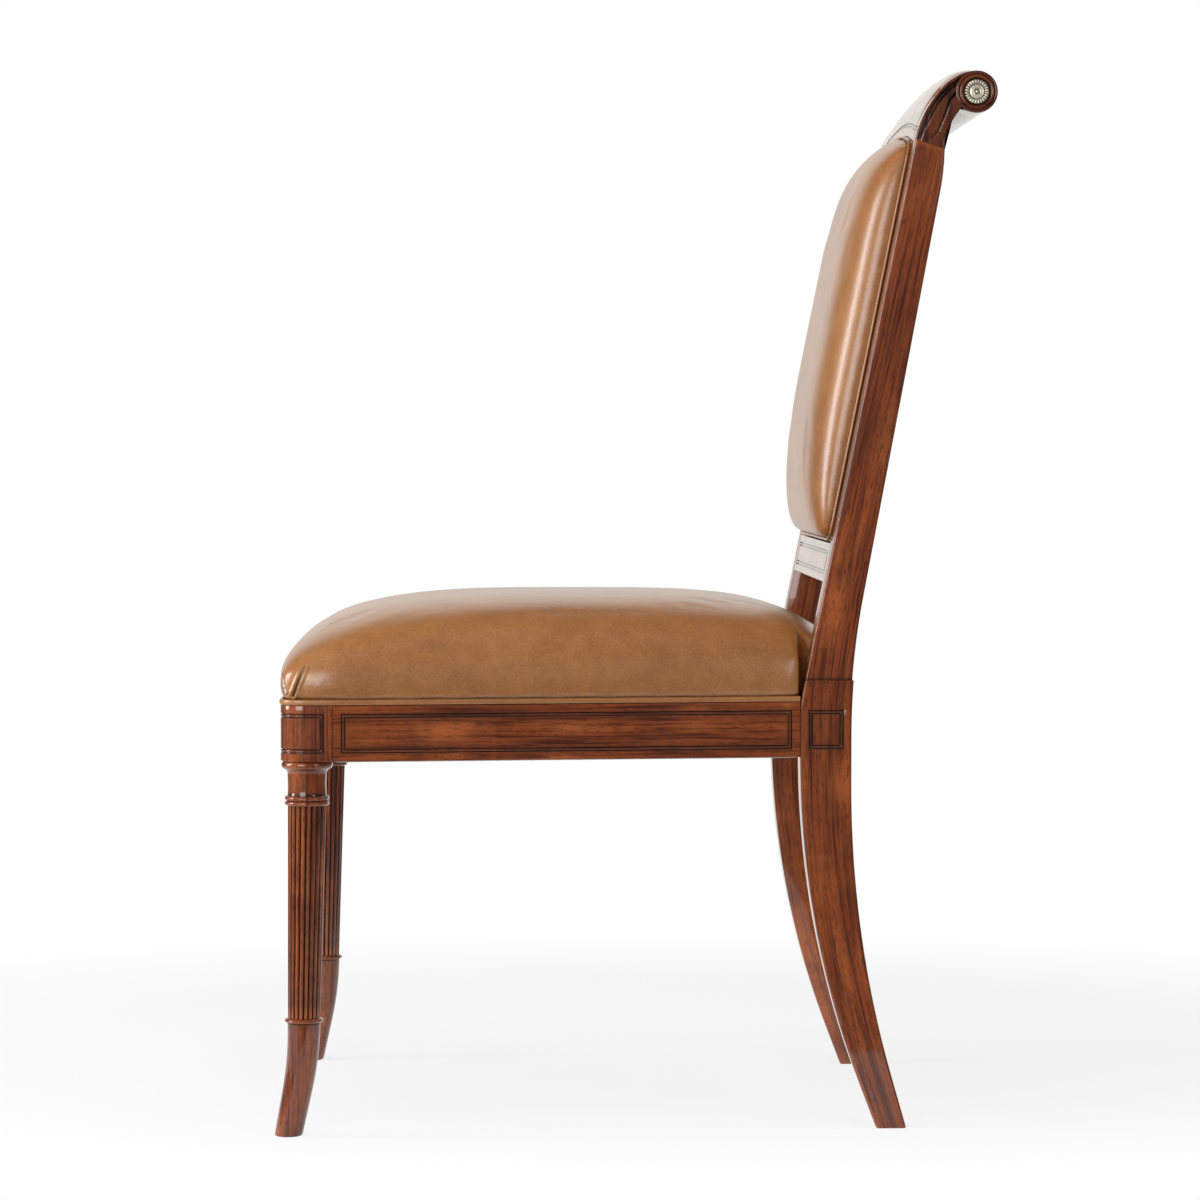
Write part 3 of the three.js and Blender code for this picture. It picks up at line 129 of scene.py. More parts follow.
def grid_quads(rows, columns, wrap):
    """Corner numbers of a grid's quads, row after row; wrap joins the last column to the first."""
    r = np.arange(rows - 1)[:, None] * columns
    c = np.arange(columns if wrap else columns - 1)
    n = (c + 1) % columns
    return vec(r + c, r + n, r + columns + n, r + columns + c).reshape(-1, 4)


def shell(rings, plank=None, carved=None):
    """A closed shell from rings of points, shaped (rings, points, 3), with a fan over each end.

    Its faces are turned outwards by the sign of the volume they enclose: the sum over all
    triangles of corner a dotted with the cross product of corners b and c."""
    rows, columns = rings.shape[:2]
    plank = rings[..., [2, 0, 1]] if plank is None else plank
    carved = np.zeros((rows, columns)) if carved is None else carved
    points, place = (joined(grid.reshape(-1, 3), grid[[0, -1]].mean(1)) for grid in (rings, plank))
    quads = grid_quads(rows, columns, True)
    c = np.arange(columns)
    n = (c + 1) % columns
    last, count = (rows - 1) * columns, rows * columns
    triangles = joined(vec(n, c, count), vec(last + c, last + n, count + 1))
    a, b, d = points[joined(quads[:, :3], quads[:, [0, 2, 3]], triangles).T]
    if np.sum(a * np.cross(b, d)) < 0:
        quads, triangles = quads[:, ::-1], triangles[:, ::-1]
    return {"points": points, "plank": place, "carved": joined(carved.ravel(), [0, 0]),
            "quads": quads, "triangles": triangles}


def tube(rings, plank):
    """A shell whose last ring joins its first, with no ends."""
    made = shell(joined(rings, rings[:1]), joined(plank, plank[:1]))
    count = rings.shape[0] * rings.shape[1]
    cut = {key: made[key][:count] for key in ("points", "plank", "carved")}
    return {**cut, "quads": made["quads"] % count, "triangles": made["triangles"][:0]}


def mirrored(shells):
    """The same shells on the sitter's right. The plank is moved on, so the figure isn't a mirror image."""
    return [{**s, "points": s["points"] * [-1, 1, 1], "plank": s["plank"] + PLANK_DRIFT,
             "quads": s["quads"][:, ::-1], "triangles": s["triangles"][:, ::-1]} for s in shells]


def read(items, key, size=3, kind=float):
    """One property of all vertices or edges of a mesh, a row for each."""
    flat = np.empty(len(items) * size, kind)
    items.foreach_get(key, flat)
    return flat.reshape(-1, size)


def store(mesh, name, values):
    """Keeps a number or a place for each vertex, under a name that a finish reads."""
    kind, key = ("FLOAT_VECTOR", "vector") if values.ndim == 2 else ("FLOAT", "value")
    mesh.attributes.new(name, kind, "POINT").data.foreach_set(key, values.ravel())


def bulge(mesh):
    """How sharply each vertex stands out: the mean over its edges of the vertex normal times the unit
    way from the neighbour to the vertex, so 0 on a flat face and up to 1 on a point."""
    place, normal = read(mesh.vertices, "co"), read(mesh.vertex_normals, "vector")
    ends = read(mesh.edges, "vertices", 2, int).T
    total, share = np.zeros(len(place)), np.zeros(len(place))
    for a, b in (ends, ends[::-1]):
        way = place[a] - place[b]
        way /= np.linalg.norm(way, axis=1, keepdims=True) + 1e-12
        np.add.at(total, a, np.sum(way * normal[a], 1))
        np.add.at(share, a, 1)
    return unit(total / np.maximum(share, 1))


def material(name):
    """The material of a name, made when it is first asked for."""
    return bpy.data.materials.get(name) or bpy.data.materials.new(name)


def build(name, shells, finish, *stands_for, crease=38):
    """One mesh object from shells, its place in its mesh, smooth but for edges sharper than crease."""
    starts = np.cumsum([0] + [len(s["points"]) for s in shells[:-1]])
    points, plank, carved = (joined(*[s[key] for s in shells]) for key in ("points", "plank", "carved"))
    faces = [face for kind in ("quads", "triangles") for s, start in zip(shells, starts)
             for face in (s[kind] + start).tolist()]
    mesh = bpy.data.meshes.new(name)
    mesh.from_pydata((points * MM + [0, SLIDE * MM, 0]).tolist(), [], faces)
    store(mesh, "plank", plank * MM)
    store(mesh, "carved", carved)
    store(mesh, "edge", bulge(mesh))
    mesh.shade_smooth()
    mesh.set_sharp_from_angle(angle=math.radians(crease))
    mesh.materials.append(material(finish))
    piece = add(name, mesh)
    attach(piece, "root")
    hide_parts(*stands_for)
    print(name, len(points), "points,", len(faces), "faces")
    return piece


def pair(name, shells, finish, node, crease=38):
    """A piece on the sitter's left and its mirror image on the right."""
    build(name + "_l", shells, finish, node + "_left", crease=crease)
    build(name + "_r", mirrored(shells), finish, node + "_right", crease=crease)


# %% [markdown]
# The rails and blocks carry a beaded frame: a half-round bead between two thin grooves. On the real
# chair a scratch stock cuts it. Here it is a depth that depends only on how far a point lies inside
# the frame's outer line. The grid gets extra lines where that depth turns, at both ends, so that the
# mitred corners come out clean.

# %% The beaded frame
GROOVE, BEAD, BEAD_DEPTH, SLOPE = 0.8, 1.25, 1.2, 0.15
FRAME_WIDTH = 2 * (GROOVE + BEAD)
HALF_STOPS = np.array([0, 0.15, 0.4, 0.65, 0.8, 0.98, 1.3, 1.68, 2.05])
FRAME_STOPS = joined(HALF_STOPS, FRAME_WIDTH - HALF_STOPS[-2::-1])


def frame_depth(inside):
    """Depth at a distance inside the frame's line: zero outside it, a groove with sloped sides, then
    a half circle as high as the face, then the second groove, mirrored about the bead's middle."""
    d = np.minimum(inside, FRAME_WIDTH - inside)
    rise = np.sqrt(np.clip(BEAD**2 - (BEAD - (d - GROOVE)) ** 2, 0, None)) / BEAD
    depth = np.where(d > GROOVE, BEAD_DEPTH * (1 - rise) + 0.05, BEAD_DEPTH * unit(d / SLOPE))
    return np.where(d > 0, depth, 0)


def frame_mask(inside):
    """How dark the frame is painted: full in the two grooves, less on the bead's crown, and a soft shade
    that fades over a millimetre outside the frame and over a few millimetres of the panel inside it.
    The grooves hold old polish and painted shade; the soft shade outside and inside is painted shade only."""
    d = np.minimum(inside, FRAME_WIDTH - inside)
    cut = unit(d / SLOPE) * (1 - 0.55 * unit((d - GROOVE) / 0.35))
    halo = 0.45 * np.exp(-((np.minimum(d, 0) / 0.9) ** 2))
    past = inside - FRAME_WIDTH
    panel = np.where(past > 0, 0.28 * np.exp(-np.maximum(past, 0) / 4), 0)
    return np.maximum(cut, np.maximum(halo, panel))


def stations(low, high, inset, step):
    """Places from low to high, step apart at most, with the frame's own lines at both ends."""
    plain = np.linspace(low, high, max(2, math.ceil((high - low) / step) + 1))
    stops = joined([-1.6, -0.8], FRAME_STOPS, FRAME_WIDTH + np.array([0.8, 2.0]))
    near, far = low + inset + stops, high - inset - stops
    inner = plain[(plain > near.max() + 0.3) & (plain < far.min() - 0.3)]
    outer = plain[(plain < near.min() - 0.3) | (plain > far.max() + 0.3)]
    return np.unique(np.round(joined(outer, near, inner, far), 4))


def rounded_rectangle(u0, v0, u1, v1, radii, steps=4):
    """Corner arcs of a rectangle as points, from the corner (u0, v0), then (u1, v0), (u1, v1), (u0, v1).

    Each corner is a quarter circle of its own radius about a centre that far in from both sides."""
    t = np.linspace(0, np.pi / 2, steps + 1)
    corners = ((u0, v0, 1, 1, 1), (u1, v0, -1, 1, 1.5), (u1, v1, -1, -1, 0), (u0, v1, 1, -1, 0.5))
    return [vec(u + r * (u_in + np.cos(t + turn * np.pi)), v + r * (v_in + np.sin(t + turn * np.pi)))
            for (u, v, u_in, v_in, turn), r in zip(corners, radii)]


def eased(distance, radius):
    """How far a rounded edge stands back at a distance from the end: its radius minus the root of
    the radius squared less the square of what the distance lacks of the radius."""
    lack = radius - np.clip(distance, 0, radius)
    return radius - np.sqrt(radius**2 - lack**2)


# %% [markdown]
# The chair's lines in the side view. A sabre leg is an arc that starts upright and runs out into its
# own tangent. One function gives both edges of both legs and the rake of the posts.

# %% Side-view lines of legs and posts
RAIL_BOTTOM, RAIL_TOP, BLOCK_TOP = 345.0, 396.2, 415.5
AXIS_X, AXIS_Y, BLOCK_HALF = 235.0, -302.4, 24.0
FRONT_OUT, FRONT_FACE, FRONT_BACK = 259.0, -326.4, -278.4
REAR_OUT, REAR_IN, REAR_FACE, REAR_BACK = 212.0, 180.0, 151.2, 198.8
GAP = 0.3
JOINT_FRONT, JOINT_REAR = 913.8, 904.6
EASE_FROM, EASE_BACK = 868.0, 3.2
# each sweep: the height where it begins, the fall of its arc and the slope of its straight part
LEG_FRONT, POST_FRONT = (345, 305, 0.381), (388.5, 10, 0.2017)
LEG_REAR, POST_REAR = (318, 270, 0.286), (362.5, 130, 0.1846)


def swept(fall, arc_fall, slope):
    """Sideways sweep after a fall: r minus the root of r squared less the fall squared on the arc,
    then a straight line at the slope; r is the arc's fall over the sine of the slope's angle."""
    r = arc_fall / math.sin(math.atan(slope))
    fall = np.maximum(fall, 0)
    arc = r - np.sqrt(np.maximum(r * r - np.minimum(fall, arc_fall) ** 2, 0))
    return arc + np.maximum(fall - arc_fall, 0) * slope


def edge_line(z, start, leg, post):
    """An edge of the rear stile: its place at rail height, swept back both downwards and upwards."""
    return start + swept(leg[0] - z, *leg[1:]) + swept(z - post[0], *post[1:])


def post_front(z):
    """The rear stile's front edge: the sabre sweep below the rail and the rake above it."""
    return edge_line(z, REAR_FACE, LEG_FRONT, POST_FRONT)


def post_rear(z):
    """The rear stile's rear edge, which turns a little upright again under the crest."""
    upright = EASE_BACK * unit((z - EASE_FROM) / (JOINT_REAR - EASE_FROM)) ** 2
    return edge_line(z, REAR_BACK, LEG_REAR, POST_REAR) - upright


RAKE = math.atan(POST_FRONT[2])
UP, IN = math.cos(RAKE), math.sin(RAKE)
SADDLE_FRONT = np.array([post_front(JOINT_FRONT), JOINT_FRONT])
SADDLE_REAR = np.array([post_rear(JOINT_REAR), JOINT_REAR])
ROLL_RADIUS = 19.4
ROLL = np.array([SADDLE_REAR[0] + 28.8, JOINT_FRONT + 43.4])
PAD_BOTTOM, PAD_TOP, PAD_ARCH = 543.0, 915.0, 14.0
PAD_HEIGHT = (PAD_TOP - PAD_BOTTOM) / UP


def on_back(x, v, w):
    """A point in the plane of the posts' fronts: x across, v up the rake, w out to the sitter."""
    return vec(x, post_front(PAD_BOTTOM) + v * IN - w * UP, PAD_BOTTOM + v * UP + w * IN)


def pad_top(x):
    """How far up the rake the back pad's arched top edge lies: the pad's height and a parabola."""
    return PAD_HEIGHT + PAD_ARCH * (1 - np.minimum(np.abs(x) / REAR_IN, 1) ** 2) / UP


print("rake", round(math.degrees(RAKE), 2), "degrees; roll's axis at", ROLL.round(2))

# %% [markdown]
# The front leg is turned, carved and shaped from one post. Below its square block come a collar, a
# hollow, a drum and two rings, then a shaft with twenty reeds, a ring, and a smooth foot that sweeps
# forward. One grid serves it all: the radius is a profile over the height, and on the shaft it also
# dips between the reeds.

# %% The front leg's turned part
REEDS, REED_DEPTH, PER_REED = 20, 1.7, 12
COLLAR_LOW, DRUM_HIGH, DRUM_LOW, RINGS_LOW = 337.4, 332.9, 312.9, 303.7
ANKLE_LOW, ANKLE_HIGH, FOOT_EASE = 104.0, 108.7, 2.0
DRUM, SHAFT_LOW, SHAFT_GROWS, FOOT, FOOT_GROWS = 17.9, 14.8, 2.9, 13.0, 2.1
LEAN, FOOT_ARC, FOOT_SLOPE = 3.4, 62, 0.2


def moulding(root, crown, high, low, steps=8):
    """Rows of (height, radius, groove mask) of a half-round moulding, from its top edge down."""
    t = np.linspace(0, np.pi, steps + 1)
    height = (high + low) / 2 + (high - low) / 2 * np.cos(t)
    # The groove mask paints the moulding's edges dark where it meets its neighbours: painted shade and old
    # polish.
    return vec(height, root + (crown - root) * np.sin(t), unit(1 - np.sin(t) * 2.2))


def leg_profile():
    """All rows of (height, radius, groove mask) from inside the block down to the floor."""
    t = np.linspace(0, 1, 6)
    middle = (DRUM_LOW + RINGS_LOW) / 2
    hollow_z = COLLAR_LOW - 0.2 - t * (COLLAR_LOW - DRUM_HIGH)
    hollow = vec(hollow_z, DRUM + 2.3 * (1 - t) ** 2, 0.5 * (1 - t) ** 3)
    drum_z = DRUM_HIGH - 2 - t * (DRUM_HIGH - DRUM_LOW - 2.4)
    drum = vec(drum_z, DRUM - 0.25 * np.sin(np.pi * t), t**12)
    shaft_z = np.linspace(RINGS_LOW - 0.1, ANKLE_HIGH + 0.1, 14)
    shaft = vec(shaft_z, SHAFT_LOW + SHAFT_GROWS * (shaft_z - ANKLE_HIGH) / (RINGS_LOW - ANKLE_HIGH), 0)
    foot_z = np.linspace(ANKLE_LOW - 0.2, FOOT_EASE, 22)
    foot = vec(foot_z, FOOT + FOOT_GROWS * foot_z / ANKLE_LOW, np.exp(-(ANKLE_LOW - foot_z) / 0.8))
    a = np.linspace(0.2, 1, 5) * np.pi / 2
    sole = vec(FOOT_EASE * (1 - np.sin(a)), FOOT - FOOT_EASE * (1 - np.cos(a)), 0)
    # The hollow under the collar, the joints of the rings and the top of the foot are painted dark: painted shade
    # and old polish.
    return joined(
        [[RAIL_BOTTOM + 2, 20.5, 0.6]], moulding(20.7, 23.6, RAIL_BOTTOM - 0.2, COLLAR_LOW), hollow,
        drum, moulding(18, 20.6, DRUM_LOW, middle), moulding(18, 20.6, middle, RINGS_LOW)[1:], shaft,
        moulding(13.6, 17.8, ANKLE_HIGH, ANKLE_LOW), foot, sole)


def turned_leg():
    """Radius times cosine and sine of the angle about the axis; on the shaft the radius loses the
    reed's depth times one minus the size of the sine of half the reed count times the angle. The axis
    is upright down to the rings, leans forward down the shaft and then sweeps out as the foot."""
    z, radius, mask = leg_profile().T[..., None]
    angle = np.arange(REEDS * PER_REED) * (2 * np.pi / (REEDS * PER_REED))
    reed = 1 - np.abs(np.sin(REEDS / 2 * angle))
    on_shaft = (z < RINGS_LOW) & (z > ANKLE_HIGH)
    reach = radius - on_shaft * REED_DEPTH * reed
    lean = LEAN * unit((RINGS_LOW - z) / (RINGS_LOW - ANKLE_HIGH))
    axis_y = AXIS_Y - lean - swept(ANKLE_LOW - z, FOOT_ARC, FOOT_SLOPE)
    points = vec(AXIS_X + reach * np.cos(angle), axis_y + reach * np.sin(angle), z)
    # The reeds' valleys are painted dark: painted shade, with old polish in them.
    return shell(points, carved=np.maximum(mask, on_shaft * unit(reed * 2.2 - 0.5)))


# %% [markdown]
# The block above it is square in plan, but its outer front corner is a quarter circle, and the beaded
# frame wraps round it. The grid runs round the plan outline and up the height.

# %% The front leg's block
CORNER, INSET = 22.0, 7.5
PLAN_EASE, END_EASE = 0.8, 0.6


def block_outline():
    """Places round the block's plan: their points, their outward ways, and how far inside the frame
    they lie. The face run goes along the front, round the corner and along the outer face."""
    x0, x1, y0, y1 = AXIS_X - BLOCK_HALF, FRONT_OUT, FRONT_FACE, FRONT_BACK
    straight, arc = x1 - CORNER - x0, CORNER * np.pi / 2
    length = straight + arc + (y1 - CORNER - y0)
    s = stations(PLAN_EASE, length - PLAN_EASE, INSET - PLAN_EASE, 1.6)
    turn = np.clip(s - straight, 0, arc) / CORNER
    x = np.where(s < straight, x0 + s, x1 - CORNER + CORNER * np.sin(turn))
    y = y0 + CORNER - CORNER * np.cos(turn) + np.maximum(s - straight - arc, 0)
    inside = np.minimum(s - INSET, length - INSET - s)
    arcs = rounded_rectangle(x0, y0, x1, y1, [PLAN_EASE] * 4)
    rest = joined(arcs[2][1:], arcs[3][1:], arcs[0][1:-1])
    out = rest - [AXIS_X, (y0 + y1) / 2]
    out /= np.linalg.norm(out, axis=1, keepdims=True)
    ways = joined(vec(np.sin(turn), -np.cos(turn)), out)
    return joined(vec(x, y), rest), ways, joined(inside, np.full(len(rest), -1.0))


def leg_block():
    """The plan outline moved inwards by the frame's depth, ring by ring up the block, with eased ends."""
    plan, ways, inside = block_outline()
    z = stations(RAIL_BOTTOM + END_EASE, RAIL_TOP - END_EASE, INSET - END_EASE, 4)
    z = joined([RAIL_BOTTOM, RAIL_BOTTOM + 0.2], z, [RAIL_TOP - 0.2, RAIL_TOP])[:, None]
    to_end = np.minimum(z - RAIL_BOTTOM, RAIL_TOP - z)
    within = np.minimum(inside, to_end - INSET)
    flat = plan - ways * (frame_depth(within) + eased(to_end, END_EASE))[..., None]
    return shell(vec(flat[..., 0], flat[..., 1], z), carved=frame_mask(within))


pair("front_leg", [turned_leg(), leg_block()], "mahogany", "front_leg")

# %% [markdown]
# A rear stile is one long plank: sabre foot, block with its own small frame, and raked post. Level
# rings run from the floor to above the block, and from there each point slides in a straight line to
# its place on the round saddle under the crest.

# %% The rear stiles
SHOULDER, ARRIS, REAR_ARRIS = 1.3, 1.5, 3.4
SADDLE_RISE, FOOT_TAPER, SOLE_EASE = 2.4, 6, 1.0
LINE_INSET, LINE_RISE, LINE_FOOT = 14.0, 13.0, 430.0
LEVEL_TO = 480.0
OUTER, INNER, FRONT = range(3)
OFF = -9


def stile_section():
    """One ring as rows of (share from front to rear, shift in mm, inset from the outer face, face). The
    outer face has the frame's stations, and all edges are quarter circles, larger at the rear."""
    depth = REAR_BACK - REAR_FACE
    y = stations(ARRIS, depth - REAR_ARRIS, INSET - ARRIS, 5)
    rear_edge = depth - INSET
    y = np.unique(joined(y[y < rear_edge], rear_edge - FRAME_STOPS, [depth - 5.5, depth - REAR_ARRIS]))
    y = y[(y <= ARRIS + 1e-6) | (y >= INSET - 1.7)]
    t = np.linspace(0, np.pi / 2, 6)[1:]
    a, b = 1 - np.sin(t), 1 - np.cos(t)
    return joined(
        vec(y / depth, 0, 0, OUTER), vec(1, -REAR_ARRIS * a, REAR_ARRIS * b, OUTER),
        vec(1, -REAR_ARRIS * a, -REAR_ARRIS * b, INNER)[::-1], vec(0, ARRIS * a, -ARRIS * b, INNER),
        vec(0, 0, LINE_INSET + FRAME_STOPS, FRONT)[::-1], vec(0, ARRIS * a, ARRIS * b, OUTER)[::-1])


def rear_stile():
    """Points at the given shares between the front and rear edges at each height, and inset from the
    outer or inner face. Up the post, the levels tilt bit by bit until the last one is the saddle arc."""
    share, shift, inset, face = stile_section().T
    z = np.unique(joined(
        [0, 0.25, 1.0], np.linspace(4, 318, 44), [335, RAIL_BOTTOM + 0.01],
        stations(RAIL_BOTTOM, RAIL_TOP, INSET, 5)[1:], [405, BLOCK_TOP - 0.4, BLOCK_TOP, BLOCK_TOP + 1],
        np.linspace(BLOCK_TOP + 4, LEVEL_TO, 16)))[:, None]
    step = SHOULDER * unit(z - BLOCK_TOP) ** 2
    sole = eased(z, SOLE_EASE)
    front = post_front(z) + sole
    rear = post_rear(z) - step - sole
    rear = np.where(z > BLOCK_TOP, np.maximum(rear, post_rear(BLOCK_TOP) - step), rear)
    depth = share * (rear - front) + shift
    taper = FOOT_TAPER * (1 - np.minimum(z / RAIL_BOTTOM, 1))
    within = np.minimum(np.minimum(depth, rear - front - depth),
                        np.minimum(z - RAIL_BOTTOM, RAIL_TOP - z)) - INSET
    within = np.where(face == OUTER, within, OFF)
    line = np.where(face == FRONT, np.minimum(inset - LINE_INSET, z - LINE_FOOT), OFF)
    y = front + depth + frame_depth(line)
    x_out = REAR_OUT - step - sole - inset - frame_depth(within)
    x = np.where(face == INNER, REAR_IN + taper + sole - inset, x_out)
    rings, plank = vec(x, y, z), vec(z, x, y - (front + rear) / 2)
    # from the last level ring up to the saddle
    base = rings[-1]
    across = (base[:, 1] - front[-1]) / (rear[-1] - front[-1])
    chord = JOINT_FRONT + across * (JOINT_REAR - JOINT_FRONT)
    top = chord + 4 * SADDLE_RISE * across * (1 - across)
    rise = np.linspace(0, 1, 40)[1:, None]
    height = LEVEL_TO + rise * (top - LEVEL_TO)
    depth = across * (post_rear(height) - SHOULDER * (1 - rise) - post_front(height))
    upper = vec(base[:, 0], post_front(height) + depth, height)
    plank_top = vec(height, upper[..., 0], depth + plank[-1, 0, 2])
    line_top = np.broadcast_to(frame_mask(line[-1]), height.shape)
    # Painted shade: a dark line just above the block's shoulder, where the post steps back.
    sunk = 0.8 * np.exp(-((z - BLOCK_TOP - 1.2) / 1.6) ** 2)
    carved = np.maximum(np.maximum(frame_mask(within), frame_mask(line)), sunk)
    return shell(joined(rings, upper), joined(plank, plank_top), joined(carved, line_top))


pair("rear_stile", [rear_stile()], "mahogany", "rear_stile")

# %% [markdown]
# The seat rails are plain boards with eased edges. The side and front rails have the long beaded
# frame on their outer face. A board's section runs round its outer face, top, inner face and bottom,
# and is carried from end to end.

# %% The seat rails
BOARD_EASE = 0.8


def board(start, end, low, high, thickness, place, inset=INSET, framed=True):
    """A board along its length: rings of (depth into the board, height), moved in by the frame's depth
    on the outer face. place turns (along, inwards, up) into a point; plank keeps them as they are."""
    up = stations(low + BOARD_EASE, high - BOARD_EASE, inset - BOARD_EASE, 5)
    c0, c1, c2, c3 = rounded_rectangle(0, low, thickness, high, [BOARD_EASE] * 4)
    section = joined(vec(0, up), c3[1:][::-1], c2[::-1], c1[::-1], c0[::-1][:-1])
    outer = np.arange(len(section)) < len(up)
    run = stations(start, end, inset, 12)
    run = joined([start, start + 0.02], run[1:-1], [end - 0.02, end])[:, None]
    depth, height = section.T
    within = np.minimum(np.minimum(run - start, end - run), np.minimum(height - low, high - height)) - inset
    within = np.where(outer & framed, within, -1.0)
    depth = depth + frame_depth(within)
    return shell(place(run, depth, height), vec(run, height, depth), frame_mask(within))


def side_rail_x(y):
    """The side rail's outer face: a straight line in plan from the front leg to the rear stile."""
    return FRONT_OUT + (REAR_OUT - FRONT_OUT) * (y - FRONT_BACK) / (REAR_FACE - FRONT_BACK)


half_front, half_back = AXIS_X - BLOCK_HALF - GAP, REAR_IN - GAP
STAY_HIGH = (542 - PAD_BOTTOM) / UP
STAY_LOW = STAY_HIGH - 36 / UP
pair("side_rail", [board(FRONT_BACK + GAP, REAR_FACE - GAP, RAIL_BOTTOM, RAIL_TOP, 24,
                         lambda a, w, h: vec(side_rail_x(a) - w, a, h))], "mahogany", "side_seat_rail")
build("front_rail", [board(-half_front, half_front, RAIL_BOTTOM, RAIL_TOP, 24,
                           lambda a, w, h: vec(a, FRONT_FACE + w, h))], "mahogany", "front_seat_rail")
build("back_rail", [board(-half_back, half_back, RAIL_BOTTOM, RAIL_TOP, 22,
                          lambda a, w, h: vec(a, REAR_BACK - w, h), framed=False)],
      "mahogany", "back_seat_rail")
build("stay_rail_board", [board(-half_back, half_back, STAY_LOW, STAY_HIGH, 20,
                                lambda a, w, h: on_back(a, h, -w), inset=7)], "mahogany", "stay_rail")

# %% [markdown]
# The crest rail is the chair's showpiece. Its section rises from the posts in a flowing S, turns over
# in a roll and comes back under to a neck. Between the posts it arches. At each end the roll shows as
# a volute, and the ear below it is carved in four reeds that gather towards the volute's neck.

# %% The crest rail's body
CREST_FRONT, CREST_ROLL, CREST_REAR, CREST_FOOT = 34, 44, 20, 6
NECK = math.radians(226)
CREST_ARCH = 10.5
ROLL_TOP, ROLL_LOW = ROLL + [0, ROLL_RADIUS], ROLL[1] - ROLL_RADIUS
THROAT = ROLL + ROLL_RADIUS * np.array([math.cos(NECK), math.sin(NECK)])


def bezier(a, b, c, d, t):
    """The cubic curve from a to d at the parameters t; b and c are its handles, as shares of the way."""
    t = np.asarray(t)[:, None]
    b, c = a + (d - a) * b, a + (d - a) * c
    return (1 - t) ** 3 * a + 3 * (1 - t) ** 2 * t * b + 3 * (1 - t) * t**2 * c + t**3 * d


def crest_front_line(t):
    """The front of the crest in the side view, from the saddle to the top of the roll."""
    return bezier(SADDLE_FRONT, [0.11, 0.47], [0.53, 1], ROLL_TOP, t)


def crest_rear_line(t):
    """The rear of the crest, from the neck under the roll down to the saddle."""
    return bezier(THROAT, [0.67, 0.33], [1.15, 0.68], SADDLE_REAR, t)


def up_rake(p):
    """How far up the rake a side-view point lies."""
    return (p[:, 0] - post_front(PAD_BOTTOM)) * IN + (p[:, 1] - PAD_BOTTOM) * UP


def raised(line, rise, low, high):
    """A line lifted by a rise that grows from nothing at the height low to its full at high."""
    return line + np.outer(rise * unit((line[:, 1] - low) / (high - low)), [0, 1])


def crest_ring(x, arched):
    """The crest's section at x as (y, z) points. The upper part is raised by the arch, 10.5 mm times
    the root of one minus the share squared. Between the posts the foot stops at the pad's arched top."""
    rise = CREST_ARCH * math.sqrt(1 - min(abs(x) / REAR_IN, 1) ** 2)
    fine = np.linspace(0, 1, 240)
    base = SADDLE_FRONT[1]
    front = raised(crest_front_line(fine), rise, base, base + 0.96 * (ROLL_TOP[1] - base))
    rear = crest_rear_line(fine)
    edge = pad_top(x)
    start, end = 0.0, 1.0
    if arched:
        start = np.interp(edge + GAP, up_rake(front), fine)
        end = 1 - np.interp(edge + GAP, up_rake(rear)[::-1], fine)
    stops = np.interp(edge + LINE_RISE - FRAME_STOPS[::-1], up_rake(front), fine)
    a = joined([start, (start + stops[0]) / 2], stops, np.linspace(stops[-1], 1, CREST_FRONT + 1)[1:])
    line = vec(*(np.interp(a, fine, front[:, k]) for k in (0, 1)))
    inside = np.minimum(edge + LINE_RISE - up_rake(line), REAR_OUT - LINE_INSET - abs(x))
    line = line + np.outer(frame_depth(inside), [UP, -IN])
    turn = np.pi / 2 - np.linspace(0, 1, CREST_ROLL + 1)[1:-1] * (2.5 * np.pi - NECK)
    roll = raised(ROLL + ROLL_RADIUS * vec(np.cos(turn), np.sin(turn)), rise, ROLL_LOW, ROLL_TOP[1])
    b = np.linspace(0, end, CREST_REAR)
    back = raised(vec(*(np.interp(b, fine, rear[:, k]) for k in (0, 1))), rise, ROLL_LOW, ROLL_TOP[1])
    f = np.linspace(0, 1, CREST_FOOT + 2)[1:-1]
    foot = back[-1] + np.outer(f, line[0] - back[-1])
    if not arched:
        along = (SADDLE_REAR - SADDLE_FRONT) / np.linalg.norm(SADDLE_REAR - SADDLE_FRONT)
        foot = foot + np.outer(4 * SADDLE_RISE * f * (1 - f) + GAP, [-along[1], along[0]])
    rest = joined(roll, back, foot)
    return joined(line, rest), joined(frame_mask(inside), np.zeros(len(rest)))


def crest_body():
    """Rings of the section from end to end: saddle feet over the posts, arched between them."""
    inner = np.linspace(-REAR_IN + GAP, REAR_IN - GAP, 49)
    outer = joined([REAR_IN], REAR_OUT - LINE_INSET - FRAME_STOPS[::-1], [REAR_OUT - 3])
    x = joined(-outer[::-1], inner, outer)
    sections = [crest_ring(place, abs(place) < REAR_IN) for place in x]
    y, z = np.moveaxis(np.stack([ring for ring, _ in sections]), -1, 0)
    x = x[:, None]
    return shell(vec(x, y, z), vec(x, z, y - ROLL[0]), np.stack([mask for _, mask in sections]))


# %% [markdown]
# The ear is a patch stretched between the crest's front and rear lines, walked in step with each other.
# Three grooves run up it and gather at the volute's neck. The grid's columns follow the grooves, so
# their valleys stay sharp. The front band rises on its way up, until it is level with the volute's rim.

